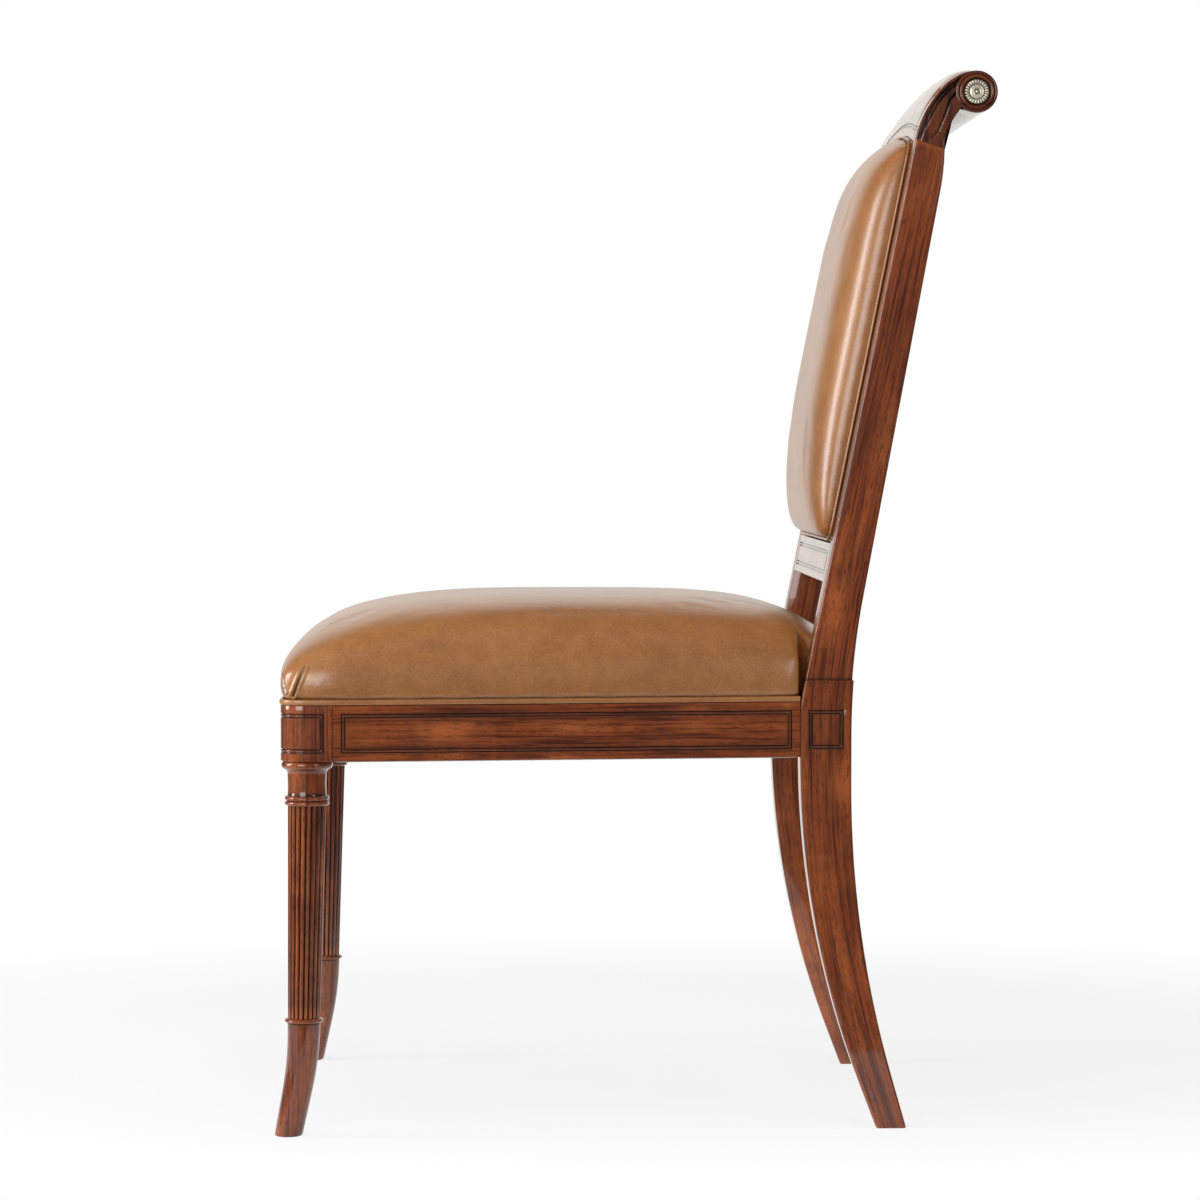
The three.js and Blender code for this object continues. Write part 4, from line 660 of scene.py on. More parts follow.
# %% The carved ears and volutes
EAR_STOPS = [0, 0.1, 0.25, 0.4, 0.55, 0.65, 0.75, 0.85, 1]
EAR_LINES = [
    [0.155, 0.17, 0.17, 0.125, 0.105, 0.115, 0.13, 0.11, 0.08],
    [0.25, 0.24, 0.225, 0.24, 0.215, 0.21, 0.2, 0.19, 0.16],
    [0.46, 0.52, 0.675, 0.67, 0.605, 0.48, 0.43, 0.37, 0.3],
]
EAR_DEPTHS = [
    [0.7, 0.9, 1.1, 1.5, 2.0, 2.3, 2.5, 2.5, 2.5],
    [0.0, 0.0, 0.6, 1.4, 2.0, 2.3, 2.4, 2.4, 2.4],
    [0.2, 0.7, 0.8, 1.1, 1.7, 2.3, 2.6, 2.6, 2.6],
]
EAR_THICK = 8


def ear():
    """Depth of the ear: for each groove, its depth times e to the minus distance over 1.3 mm, and the
    same over 0.5 mm at the outer edges. The front band adds a half round that grows up the ear."""
    t = np.linspace(0, 1, 90)
    lines, depths = (np.array([np.interp(t, EAR_STOPS, row) for row in table])
                     for table in (EAR_LINES, EAR_DEPTHS))
    knots = np.stack([0 * t, *lines, 0 * t + 1], 1)
    ease = 0.5 - 0.5 * np.cos(np.linspace(0, np.pi, 17))[:-1]
    spans = knots[:, :-1, None] + np.diff(knots)[..., None] * ease
    s = np.concatenate([spans.reshape(len(t), -1), np.ones((len(t), 1))], 1)
    front, rear = crest_front_line(t * 0.97), crest_rear_line(1 - t)
    flat = front[:, None] + s[..., None] * (rear - front)[:, None]
    width = np.linalg.norm(rear - front, axis=1)[:, None]
    away = np.abs(s - lines[..., None]) * width
    to_edge = np.minimum(s, 1 - s) * width
    grooves = (depths[..., None] * np.exp(-away / 1.3)).sum(0)
    band = 1.5 * unit((t - 0.35) / 0.4)[:, None] * np.sqrt(1 - np.clip(s / lines[0][:, None] * 2 - 1, -1, 1) ** 2)
    x = REAR_OUT - grooves - 0.9 * np.exp(-to_edge / 0.5) + band
    # The ear is painted dark all over, and darker in its grooves and at its edges: dark polish, with painted
    # shade in the grooves.
    groove_polish_and_shade = (depths[..., None] / 2.6 * np.exp(-away / 0.9)).sum(0)
    carved = unit(0.6 + groove_polish_and_shade * 1.1 + 0.3 * np.exp(-to_edge / 0.7))
    top = vec(x, flat[..., 0], flat[..., 1])
    back = vec(REAR_OUT - EAR_THICK, flat[..., 0], flat[..., 1])
    rings = np.concatenate([top, back[:, ::-1]], 1)
    return shell(rings, rings[..., [2, 0, 1]], np.concatenate([carved, np.zeros_like(carved)], 1))


def volute(profile, carved, segments=96, height=lambda radius, angle: 0, mask=lambda radius, angle: 0):
    """A turned disc on the roll's axis: rows of (radius, outward place), with an optional height that
    depends on the angle, added outwards, and an optional mask that does."""
    angle = np.arange(segments) * (2 * np.pi / segments)
    radius, out = np.array(profile, float).T[..., None]
    y, z = ROLL[0] + radius * np.cos(angle), ROLL[1] + radius * np.sin(angle)
    carved = np.broadcast_to(np.array(carved, float)[:, None], y.shape)
    points = vec(REAR_OUT + out + height(radius, angle), y, z)
    return shell(points, points[..., [1, 2, 0]], np.maximum(carved, mask(radius, angle)))


def half_round(middle, half, low, high, steps=9):
    """Rows of (radius, outward place) over a ring's half-round section, from its outer edge inwards."""
    a = np.linspace(0, np.pi, steps)
    return vec(middle + half * np.cos(a), low + (high - low) * np.sin(a))


flat_rows = [(16.45, -0.5), (12.5, -0.6), (11.6, -0.7), (4.0, -0.7)]
volute_profile = joined([(19.4, -6.0)], half_round(17.95, 1.45, 0.3, 1.7), flat_rows[:1],
                        half_round(14.5, 1.9, -0.3, 1.5), flat_rows[1:])
# The volute is painted dark all over, and darkest in its grooves and its sunk field: dark polish, with painted
# shade in the hollows.
groove_mask = unit(1 - np.sin(np.linspace(0, np.pi, 9)) * 1.9)
rim_mask = np.maximum(groove_mask * (np.arange(9) > 4), 0.6)
volute_mask = joined([0.4], rim_mask, [1], np.maximum(groove_mask, 0.4), [1, 1, 1])
crest_end = [ear(), volute(volute_profile, volute_mask)]
build("crest_rail_carved", [crest_body(), *crest_end, *mirrored(crest_end)], "mahogany", "crest_rail")

# %% [markdown]
# The rosette is cast brass: a ring of twenty-four petals, a hollow field and a ringed boss. The petals
# are a ripple of the height round the axis, only where the radius lies in the petal ring.

# %% The rosettes
PETALS, PETAL_DEPTH = 24, 1.5


def petal_ring(radius):
    """One on the petals, between radius 7.4 and 10.9, and zero off them."""
    return unit((radius - 7.0) / 0.5) * unit((11.2 - radius) / 0.5)


def petal_height(radius, angle):
    """Each gap is cut 1.5 mm deep: the size of a sine round the axis, less one, on the petals only."""
    return PETAL_DEPTH * petal_ring(radius) * (np.abs(np.sin(PETALS / 2 * angle)) ** 0.7 - 1)


def petal_gap(radius, angle):
    """The tarnish in a gap: one where the sine is under 0.25, fading to zero at 0.55."""
    return petal_ring(radius) * unit((0.55 - np.abs(np.sin(PETALS / 2 * angle))) / 0.3)


rosette_profile = [
    (2.0, -6.0), (2.0, 0.4), (11.2, 0.4), (11.3, 1.0), (11.1, 1.6), (10.6, 2.2), (9.8, 2.7),
    (9.0, 2.8), (8.2, 2.5), (7.6, 2.0), (7.2, 1.3), (6.9, 1.1), (6.4, 1.5), (5.6, 1.75), (4.6, 1.85),
    (3.6, 1.85), (2.9, 1.75), (2.5, 1.5), (2.2, 0.9), (1.8, 0.9), (1.5, 1.6), (1.3, 2.3), (1.0, 2.7),
    (0.6, 2.95), (0.25, 3.0)]
rosette_mask = np.interp([radius for radius, _ in rosette_profile],
                         [0, 1.3, 1.5, 1.7, 2.3, 2.6, 2.9, 6.3, 6.8, 7.3, 7.6, 10.8, 11.1],
                         [0, 0, 0.6, 1, 1, 0.5, 0, 0, 1, 1, 0.1, 0.1, 1])
pair("rosette", [volute(rosette_profile, rosette_mask, PETALS * 10, petal_height, petal_gap)],
     "brass", "rosette", crease=60)

# %% [markdown]
# A stuffed pad begins as a closed shell a little smaller than the finished pad. Its rings are squares
# in two parameters that run across and along the pad. The swell over them is the root of one minus a
# power of the place, flat in the middle and upright at the edge, as tight stuffing makes it.

# %% Pads before the stuffing
WELT_TOP = RAIL_TOP + 5.6
PAD_PROUD, DRAWN, POST_ROOM = 2.4, 7.5, 1.5
SEAT_SIDE, SEAT_CROWN = 22.0, 68.8
PIPING = 1.3
PIPING_ROOM = 2 * (PIPING + GAP)
BACK_SIDE, BACK_CROWN, BACK_SET = PIPING_ROOM + 0.9, 36.6, 4.5


def square_rings(count, per_side):
    """The u and v of rings that are squares from the middle out to size 1, closer together towards
    the edge and the corners, because both the size and the place on a side are sines."""
    t = np.sin(np.linspace(-1, 1, per_side + 1)[:-1] * np.pi / 2)
    ring = joined(vec(1, t), vec(-t, 1), vec(-1, -t), vec(t, -1))
    return np.sin(np.linspace(0.02, 1, count) * np.pi / 2)[:, None] * ring.T[:, None]


def swell(share, power):
    """The root of one minus the size of the share to a power."""
    return np.sqrt(unit(1 - np.abs(share) ** power))


def drawn_in(u, v):
    """How far a corner is drawn in: the size of u times v to the power 12, so it bends with the welt."""
    return DRAWN * np.abs(u * v) ** 12


def seat_plan(u, v, inset):
    """The seat pad's plan: it follows the rails and the front blocks, inset all round."""
    front, rear = FRONT_FACE - PAD_PROUD + inset, REAR_BACK - inset
    y = front + (rear - front) * (v + 1) / 2
    x = u * (side_rail_x(np.maximum(y, FRONT_BACK)) + PAD_PROUD - inset)
    return x - np.sign(u) * drawn_in(u, v), y - np.sign(v) * drawn_in(u, v)


def clear_of_posts(places):
    """Pushes places out of the rear posts' room, to the nearer of its front and inner sides."""
    x, y, z = np.moveaxis(places, -1, 0)
    past_x, past_y = np.abs(x) - (REAR_IN - POST_ROOM), y - (REAR_FACE - POST_ROOM)
    inside = (past_x > 0) & (past_y > 0)
    return vec(x - np.sign(x) * past_x * (inside & (past_x <= past_y)),
               y - past_y * (inside & (past_x > past_y)), z)


def seat_shell(inset, crown, side):
    """The seat pad from the middle of its top, out over the edge, down its side and in under it. The
    swell is flattest across the seat, rounder at the rear and roundest at the front."""
    u, v = square_rings(48, 60)
    height = crown * swell(u, 4.5) * np.where(v < 0, swell(v, 3.1), swell(v, 4.1))
    top = vec(*seat_plan(u, v, inset), WELT_TOP + side + height)
    tuck = PAD_PROUD + 3.3
    lower = ((inset - 0.6, side * 0.75), (inset - 0.7, side * 0.5), (inset, side * 0.25),
             (inset + 0.7, 0.3), (tuck, 0), (tuck, RAIL_TOP + 0.3 - WELT_TOP))
    rings = [vec(*seat_plan(u[-1], v[-1], more), WELT_TOP + up) for more, up in lower]
    return shell(clear_of_posts(joined(top, rings)))


def back_plan(u, v, inset):
    """The back pad's plan across and up the rake: straight sides, an arched top and drawn-in corners."""
    x = u * (REAR_IN - GAP - inset) - np.sign(u) * drawn_in(u, v)
    return x, inset + (v + 1) / 2 * (pad_top(x) - 2 * inset - 1.2) - np.sign(v) * drawn_in(u, v)


def back_shell(inset, crown):
    """The back pad from the middle of its face out over the edge, down its side and behind the piping.
    Across, the power is six, so the sides stand nearly upright, as a boxed pad's do. Upwards the face
    thins out as one minus the seventh power of v; below it is a plain swell."""
    u, v = square_rings(48, 60)
    height = crown * swell(u, 6) * np.where(v < 0, swell(v, 3.2), 1 - np.abs(v) ** 7)
    top = on_back(*back_plan(u, v, inset), BACK_SIDE + height)
    lower = ((inset - 0.4, BACK_SIDE * 0.75 + PIPING_ROOM * 0.25), (inset + 0.4, PIPING_ROOM),
             (PIPING_ROOM, PIPING_ROOM), (PIPING_ROOM, GAP - BACK_SET))
    return shell(joined(top, [on_back(*back_plan(u[-1], v[-1], more), w) for more, w in lower]))


# %% [markdown]
# The stuffing is simulated. Voxel remesh gives the shell even quads, and the Cloth modifier blows it
# up with the lower edge held. Only the outward part of each point's move is kept, and it levels off
# at a cap, so the pad keeps its measured size. The simulation's result is then the mesh.

# %% The stuffing
CLOTH = dict(quality=6, mass=0.35, tension_stiffness=25, compression_stiffness=25, bending_stiffness=4,
             vertex_group_mass="held", use_pressure=True, uniform_pressure_force=4)


def points_of(mesh):
    """All vertex places of a mesh in millimetres of the source's own frame."""
    return read(mesh.vertices, "co") / MM - [0, SLIDE, 0]


def move_points(mesh, places):
    """Puts the vertices at new places, given in millimetres."""
    mesh.vertices.foreach_set("co", ((places + [0, SLIDE, 0]) * MM).ravel())
    mesh.update()


def normals_of(mesh):
    """All vertex normals of a mesh."""
    return read(mesh.vertex_normals, "vector")


def worked_out(piece, *modifiers):
    """Adds modifiers, given as (kind, options), and puts the mesh that they make in place of its own."""
    for kind, options in modifiers:
        configured(piece.modifiers.new(kind.lower(), kind), **options)
    old = piece.data
    made = piece.evaluated_get(bpy.context.evaluated_depsgraph_get())
    made = bpy.data.meshes.new_from_object(made)
    piece.modifiers.clear()
    piece.data = made
    bpy.data.meshes.remove(old)


def stuff(piece, free, cap):
    """Cloth under pressure for twenty frames. free maps places to a share from 0, held, to 1. The move
    along the normal is scaled by it and levels off at the cap, as the hyperbolic tangent does."""
    start = points_of(piece.data)
    share = free(start)
    held = piece.vertex_groups.new(name="held")
    held.add(np.flatnonzero(share <= 0).tolist(), 1.0, "REPLACE")
    leather = configured(piece.modifiers.new("stuffing", "CLOTH").settings, **CLOTH)
    leather.effector_weights.gravity = 0
    for moment in range(1, 21):
        scene.frame_set(moment)
    swollen = piece.evaluated_get(bpy.context.evaluated_depsgraph_get()).to_mesh()
    move = points_of(swollen) - start
    piece.modifiers.clear()
    scene.frame_set(1)
    normals = normals_of(piece.data)
    outward = np.clip(np.sum(move * normals, 1), 0, None)
    swollen_by = share * cap * np.tanh(outward / (2 * cap))
    move_points(piece.data, start + normals * swollen_by[:, None])
    print(piece.name, "swells by", round(float(swollen_by.mean()), 2), "mm on average, capped at", cap)


def stuffed(name, padding, free, *stands_for, voxel=5.0, cap=1.6):
    """A pad from its shell: even quads, the stuffing, then a light smoothing and one subdivision."""
    pad = build(name, [padding], "leather", *stands_for)
    worked_out(pad, ("REMESH", {"mode": "VOXEL", "voxel_size": voxel * MM}), ("SMOOTH", {"iterations": 4}))
    stuff(pad, free, cap)
    worked_out(pad, ("SMOOTH", {"iterations": 3}), ("SUBSURF", {"levels": 1}))
    return pad


def finer_where(piece, wanted, cuts):
    """Cuts the edges that lie where wanted says, so that a narrow fold has enough points to bend."""
    places = wanted(*points_of(piece.data).T)
    work = bmesh.new()
    work.from_mesh(piece.data)
    work.verts.ensure_lookup_table()
    near = [edge for edge in work.edges if all(places[end.index] for end in edge.verts)]
    bmesh.ops.subdivide_edges(work, edges=near, cuts=cuts, use_grid_fill=True, smooth=0.3)
    work.to_mesh(piece.data)
    work.free()


def fold(places, normals, line, on_side, width, depth, lift):
    """Places with a sewn-in fold, and how deep in it each is. A place's distance to the line, given as
    (y, z) points, makes a valley of a given width, and beside it a soft roll. Both fade at its top."""
    nearest, along = np.full(len(places), 1e9), np.zeros(len(places))
    flat, line = places[:, 1:], np.array(line)
    steps = np.linalg.norm(np.diff(line, axis=0), axis=1)
    for a, b, run, so_far in zip(line[:-1], line[1:], steps, np.cumsum(steps) - steps):
        t = unit(((flat - a) @ (b - a)) / run**2)
        distance = np.linalg.norm(flat - a - t[:, None] * (b - a), axis=1)
        along = np.where(distance < nearest, so_far + t * run, along)
        nearest = np.minimum(nearest, distance)
    fade = unit(along / steps.sum() * 1.6 + 0.15) * on_side
    valley = np.exp(-((nearest / width) ** 2))
    roll = lift * np.exp(-(((nearest - 2.6 * width) / (1.6 * width)) ** 2))
    return places + normals * ((roll - depth * valley) * fade)[:, None], valley * fade


# %% [markdown]
# The seat pad is held along its lower edge, where it is tacked to the rails. At both front corners the
# leather is folded in, as an upholsterer pleats it, and the folds meet just over the welt. How deep a
# point lies in a fold or the welt's joint is kept for the leather, which gets a painted shade there.

# %% The seat pad
PLEATS = [  # (y, z) points of the fold's line, its width, depth and lift
    ([(-323.2, 433.5), (-324.6, 426.2), (-324.8, 420.4), (-323.3, 412.5), (-320.0, 405.0)], 1.2, 3.0, 0.5),
    ([(-302.5, 432.5), (-305.6, 426.0), (-308.8, 418.8), (-311.2, 412.5), (-314.2, 405.0)], 1.0, 2.6, 1.2),
]


def seat_free(places):
    """Held up to the welt and beside the posts, free higher up."""
    away = np.maximum(REAR_IN - 6 - np.abs(places[:, 0]), REAR_FACE - 6 - places[:, 1])
    return unit((places[:, 2] - WELT_TOP - 3) / 14) * unit(away / 20)


seat_pad = stuffed("seat_pad", seat_shell(0.7, SEAT_CROWN - 1.2, SEAT_SIDE - 0.6), seat_free,
                   "seat_cover", "seat_foam")
finer_where(seat_pad, lambda x, y, z: (np.abs(x) > 232) & (y < -292) & (z < 446) & (z > 400), 3)
places, normals = clear_of_posts(points_of(seat_pad.data)), normals_of(seat_pad.data)
# Painted shade along the welt's joint and, below, down in the folds.
sunk = 0.75 * np.exp(-(((places[:, 2] - WELT_TOP) / 1.5) ** 2))
for side in (1, -1):
    near_corner = unit((places[:, 0] * side - 236) / 6)
    for line, width, depth, lift in PLEATS:
        places, deep = fold(places, normals, line, near_corner, width, depth, lift)
        sunk = np.maximum(sunk, 0.8 * deep)
move_points(seat_pad.data, places)
store(seat_pad.data, "sunk", sunk)
seat_pad.data.shade_smooth()

# %% [markdown]
# The back pad is stuffed in the same way, in the plane of the posts. Its edge comes down on a thin
# piping, the leather-covered cord that closes the joint between the pad and the frame.

# %% The back pad and its piping


def up_and_out(places):
    """Across, up the rake, and out to the sitter, from places in the chair."""
    y, z = places[:, 1] - post_front(PAD_BOTTOM), places[:, 2] - PAD_BOTTOM
    return places[:, 0], y * IN + z * UP, z * IN - y * UP


def back_free(places):
    """Held at the piping and behind it, free further out."""
    return unit((up_and_out(places)[2] - PIPING_ROOM - 1) / 14)


back_pad = stuffed("back_pad", back_shell(1.6, BACK_CROWN - 1), back_free, "back_cover", "back_foam")
x, v, w = up_and_out(points_of(back_pad.data))
x = np.clip(x, -(REAR_IN - 0.5), REAR_IN - 0.5)
move_points(back_pad.data, on_back(x, np.clip(v, 0.6, None), w))
back_pad.data.shade_smooth()


def ways_along(steps):
    """Unit directions square to the steps of a path, to its right."""
    steps = steps / np.linalg.norm(steps, axis=1, keepdims=True)
    return vec(steps[:, 1], -steps[:, 0])


def lengths_along(path):
    """How far along a path each of its points lies."""
    return joined([0], np.cumsum(np.linalg.norm(np.diff(path, axis=0), axis=1)))[:, None]


def back_outline(inset):
    """Places (x, v) round the back pad's plan, inset, with rounded corners, and the outward way."""
    half, high = REAR_IN - GAP - inset, PAD_HEIGHT - inset
    arcs = rounded_rectangle(-half, inset, half, high, [18 - inset] * 4, 10)
    share = np.linspace(0, 1, 60)[1:-1, None]
    x, v = joined(*[part for arc, after in zip(arcs, arcs[1:] + arcs[:1])
                    for part in (arc, arc[-1] + share * (after[0] - arc[-1]))]).T
    path = vec(x, v + unit(v / PAD_HEIGHT * 2 - 1) * (pad_top(x) - PAD_HEIGHT))
    return path, ways_along(np.roll(path, -1, 0) - np.roll(path, 1, 0))


def cord_round(path, out, radius, lift, sides=10):
    """A closed tube: at each place of the path, a circle spanned by the outward way and the pad's own
    outward direction."""
    angle = np.linspace(0, 2 * np.pi, sides + 1)[:-1]
    across, height = radius * np.cos(angle), lift + radius * np.sin(angle)
    x, v = (path[:, None, k] + out[:, None, k] * across for k in (0, 1))
    return tube(on_back(x, v, height), vec(lengths_along(path), across, height))


cord = cord_round(*back_outline(PIPING + GAP), PIPING, PIPING + GAP)
build("back_welt", [cord], "leather", "back_piping")

# %% [markdown]
# Round the seat, a flat leather welt covers the tacks between the pad and the rails. It is a band with
# a slightly round face, carried along the sides and the front, and a plain strip at the rear.

# %% The seat's welts
WELT_THICK, WELT_OUT = 3.0, 0.6


def welt_path():
    """The welt's outer line in plan from the left post round the front to the right one, and its
    outward way: straight along each rail, a quarter circle round each front block."""
    corner = np.array([FRONT_OUT - CORNER, FRONT_FACE + CORNER])
    y = np.linspace(REAR_FACE - GAP, FRONT_BACK, 40)[:-1]
    side = vec(side_rail_x(y) + WELT_OUT, y)
    block = vec(FRONT_OUT + WELT_OUT, np.linspace(FRONT_BACK, corner[1], 8)[:-1])
    angle = -np.linspace(0, np.pi / 2, 16)
    bend = corner + (CORNER + WELT_OUT) * vec(np.cos(angle), np.sin(angle))
    front = vec(np.linspace(corner[0], 0, 30)[1:], FRONT_FACE - WELT_OUT)
    half = joined(side, block, bend, front)
    path = joined(half, half[-2::-1] * [-1, 1])
    return path, -ways_along(np.gradient(path, axis=0))


def band(path, out):
    """A flat band along a path, from the rail to the pad: its section is a rounded rectangle whose
    outer face swells by an eighth of its thickness, as one minus the square of the place on it."""
    low, high = RAIL_TOP + 0.3, WELT_TOP - 0.3
    c0, c1, c2, c3 = rounded_rectangle(-WELT_THICK, low, 0, high, [0.5, 1.1, 1.1, 0.5])
    depth, height = joined(c0, c1, vec(0, np.linspace(low + 1.1, high - 1.1, 6)[1:-1]), c2, c3).T
    place = (height - (low + high) / 2) / ((high - low) / 2)
    depth = depth + np.where(depth > -0.6, WELT_THICK / 8 * (1 - place**2), 0)
    x, y = (path[:, None, k] + out[:, None, k] * depth for k in (0, 1))
    return shell(vec(x, y, height), vec(lengths_along(path), height, depth))


path, out = welt_path()
build("seat_welt_band", [band(path, out * np.sign(out[0, 0]))], "leather", "seat_welt")
path = vec(np.linspace(-half_back, half_back, 40), REAR_BACK)
build("rear_welt_band", [band(path, vec(0 * path[:, 0], 1))], "leather", "seat_welt_rear")

# %% [markdown]
# The outside back is one panel of leather over a thin wadding, drawn tight over the inner frame. It is
# a low swell over the back's plan, closed behind.

# %% The outside back
BACK_FRAME_REAR = -(BACK_SET + 16) - GAP


def panel_plan(u, v, inset):
    """The outside back's plan: the opening between posts, stay rail and crest, with square corners."""
    x = u * (REAR_IN - 0.05 - inset)
    low = inset - 1.1
    return x, low + (v + 1) / 2 * (pad_top(x) - inset - low)


u, v = square_rings(26, 44)
panel = on_back(*panel_plan(u, v, 0), BACK_FRAME_REAR - 1.6 - 2.5 * swell(u, 2) * swell(v, 2))
rim = [on_back(*panel_plan(u[-1], v[-1], inset), BACK_FRAME_REAR - behind)
       for inset, behind in ((0.0, 0.9), (0.2, 0.2), (1.0, 0.0))]
build("outside_back_panel", [shell(joined(panel, rim))], "leather", "outside_back")

# %% [markdown]
# Under both pads runs jute webbing, woven over and under. A strap is a band whose height follows a
# cosine between its crossings, so it passes over one strap and under the next.

# %% The webbing
STRAP_WIDE, STRAP_THICK, STRAP_WAVE = 44.0, 1.8, 1.4
SEAT_PITCH, BACK_PITCH = 110.0, 92.0


def strap(name, node, length, pitch, phase, place):
    """Builds a strap from rings of a flat rounded section; its middle is raised by the wave times the
    cosine of pi times the distance from the middle over the pitch, turned over for even phases."""
    along = np.linspace(-length / 2, length / 2, 61)[:, None]
    wave = STRAP_WAVE * (-1) ** (phase + 1) * np.cos(np.pi * along / pitch)
    half = STRAP_WIDE / 2
    across, up = joined(*rounded_rectangle(-half, 0, half, STRAP_THICK, [0.8] * 4, 3)).T
    up = np.where(np.abs(along) < 1.5 * pitch, wave, 0) + up
    build(name, [shell(place(along, across, up), vec(along, across, up))], "webbing", node)


middle = (FRONT_FACE + REAR_BACK) / 2
seat_z, back_w = RAIL_TOP + GAP + STRAP_WAVE, GAP - BACK_SET + STRAP_WAVE
for i in range(3):
    x = (i - 1) * SEAT_PITCH
    strap(f"seat_web_long_{i + 1}", f"seat_strap_long_{i + 1}", REAR_BACK - FRONT_FACE - 24,
          SEAT_PITCH, i, lambda a, c, h: vec(x + c, middle + a, seat_z + GAP / 2 + h))
    strap(f"seat_web_cross_{i + 1}", f"seat_strap_cross_{i + 1}",
          2 * (side_rail_x(middle + x + STRAP_WIDE / 2) - 12),
          SEAT_PITCH, i + 1, lambda a, c, h: vec(a, middle + x - c, seat_z + h))
    x = (i - 1) * BACK_PITCH
    strap(f"back_web_up_{i + 1}", f"back_strap_up_{i + 1}", PAD_HEIGHT - 38,
          BACK_PITCH, i, lambda a, c, h: on_back(x + c, PAD_HEIGHT / 2 + a, back_w + GAP / 2 + h))
    strap(f"back_web_cross_{i + 1}", f"back_strap_cross_{i + 1}", 2 * (REAR_IN - GAP) - 38,
          BACK_PITCH, i + 1, lambda a, c, h: on_back(a, PAD_HEIGHT / 2 + x - c, back_w + h))

# %% [markdown]
# A thin cambric closes the seat from below. It is tacked along the rails and cut away round the legs,
# and between them it hangs a little. The sheet is a grid with the notched cells left out.

# %% The dust cover
EDGE_IN, LEG_ROOM, CLOTH_STEP = 9.0, 3.0, 9


def lines_between(low, high, stops):
    """Grid lines from low to high that take in the stops."""
    lines = np.unique(np.round(joined(np.arange(low, high, CLOTH_STEP), [high], stops), 3))
    near = np.abs(lines[:, None] - np.array(stops)).min(1)
    return lines[(near < 1e-3) | (near > CLOTH_STEP / 3)]


y0, y1 = FRONT_FACE + EDGE_IN, REAR_BACK - EDGE_IN
notch_front = (AXIS_X - BLOCK_HALF - LEG_ROOM, FRONT_BACK + LEG_ROOM)
notch_rear = (REAR_IN - LEG_ROOM, REAR_FACE - LEG_ROOM)
ys = lines_between(y0, y1, [y0, notch_front[1], notch_rear[1], y1])
xs = lines_between(0, 250, [0, notch_rear[0], notch_front[0]])
gx, gy = np.meshgrid(joined(-xs[:0:-1], xs), ys, indexing="ij")
half = side_rail_x(gy) - EDGE_IN
x = np.clip(gx, -half, half)
droop = 2.2 * (swell(x / half, 2) * swell((gy - (y0 + y1) / 2) / ((y1 - y0) / 2), 2)) ** 2
points = vec(x, gy + SLIDE, RAIL_BOTTOM - GAP - 0.4 - droop).reshape(-1, 3) * MM
quads = grid_quads(*gx.shape, False)
cx, cy = np.abs(gx).ravel()[quads].mean(1), gy.ravel()[quads].mean(1)
cut = (cx > notch_front[0]) & (cy < notch_front[1]) | (cx > notch_rear[0]) & (cy > notch_rear[1])
a, b = points[quads[:, 2]] - points[quads[:, 0]], points[quads[:, 3]] - points[quads[:, 1]]
area = 0.5 * np.abs(a[:, 0] * b[:, 1] - a[:, 1] * b[:, 0])
kept = ~cut & (area > MM**2)
sheet = bpy.data.meshes.new("dust_cover_cloth")
sheet.from_pydata(points.tolist(), [], quads[kept][:, ::-1].tolist())
form = bmesh.new()
form.from_mesh(sheet)
bmesh.ops.remove_doubles(form, verts=form.verts, dist=1e-5)
bmesh.ops.delete(form, geom=[v for v in form.verts if not v.link_faces], context="VERTS")
form.to_mesh(sheet)
form.free()
sheet.shade_smooth()
sheet.materials.append(bpy.data.materials.new("cambric"))
cover = add("dust_cover_cloth", sheet)
configured(cover.modifiers.new("cloth_thickness", "SOLIDIFY"), thickness=0.8 * MM, offset=0.0)
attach(cover, "root")
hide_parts("dust_cover")

# %% [markdown]
# Every finish is a network of noises over two or three colours. What more than one finish uses is a
# node group, made once. The helpers keep each network readable: one line makes a node, sets its
# options and joins its inputs. They all draw in the tree that was opened last.

# %% Shader helpers
TONES = ("Color", "Pale", "Middle", "Dark", "Glaze", "Bright", "Tarnish")
LED_TO = {"Color": "Base Color", "Roughness": "Roughness", "Metallic": "Metallic"}


def opened(new_tree):
    """Makes a tree the one that the helpers draw in."""
    global tree
    tree = new_tree
    return tree.nodes


def join(inputs, sockets):
    """Sets inputs by number or name: an output is linked to it, and a value is put in."""
    for key, value in sockets.items():
        if isinstance(value, bpy.types.NodeSocket):
            tree.links.new(value, inputs[key])
        else:
            opaque = inputs[key].type == "RGBA" and len(value) == 3
            inputs[key].default_value = (*value, 1) if opaque else value


def wire(kind, sockets={}, **options):
    """The outputs of a new node of a kind, with its options set and its inputs joined."""
    made = configured(tree.nodes.new("ShaderNode" + kind), **options)
    join(made.inputs, sockets)
    return made.outputs


def ramp(value, low, high, to_low=0.0, to_high=1.0):
    """A value spread from low..high to another range, cut at its ends, with eased ends."""
    return wire("MapRange", {0: value, 1: low, 2: high, 3: to_low, 4: to_high},
                interpolation_type="SMOOTHSTEP")[0]


def blend(share, a, b):
    """Colour a mixed with colour b by a share."""
    return wire("Mix", {0: share, 6: a, 7: b}, data_type="RGBA")[2]


def layered(colour, *layers):
    """A colour with others of the opened group mixed over it in turn, each given as (share, colour)."""
    for share, over in layers:
        colour = blend(share, colour, over)
    return colour


def result_of(operation, *values):
    """Values joined one after another by a sum, product or other calculation."""
    total = values[0]
    for value in values[1:]:
        total = wire("Math", {0: total, 1: value}, operation=operation)[0]
    return total


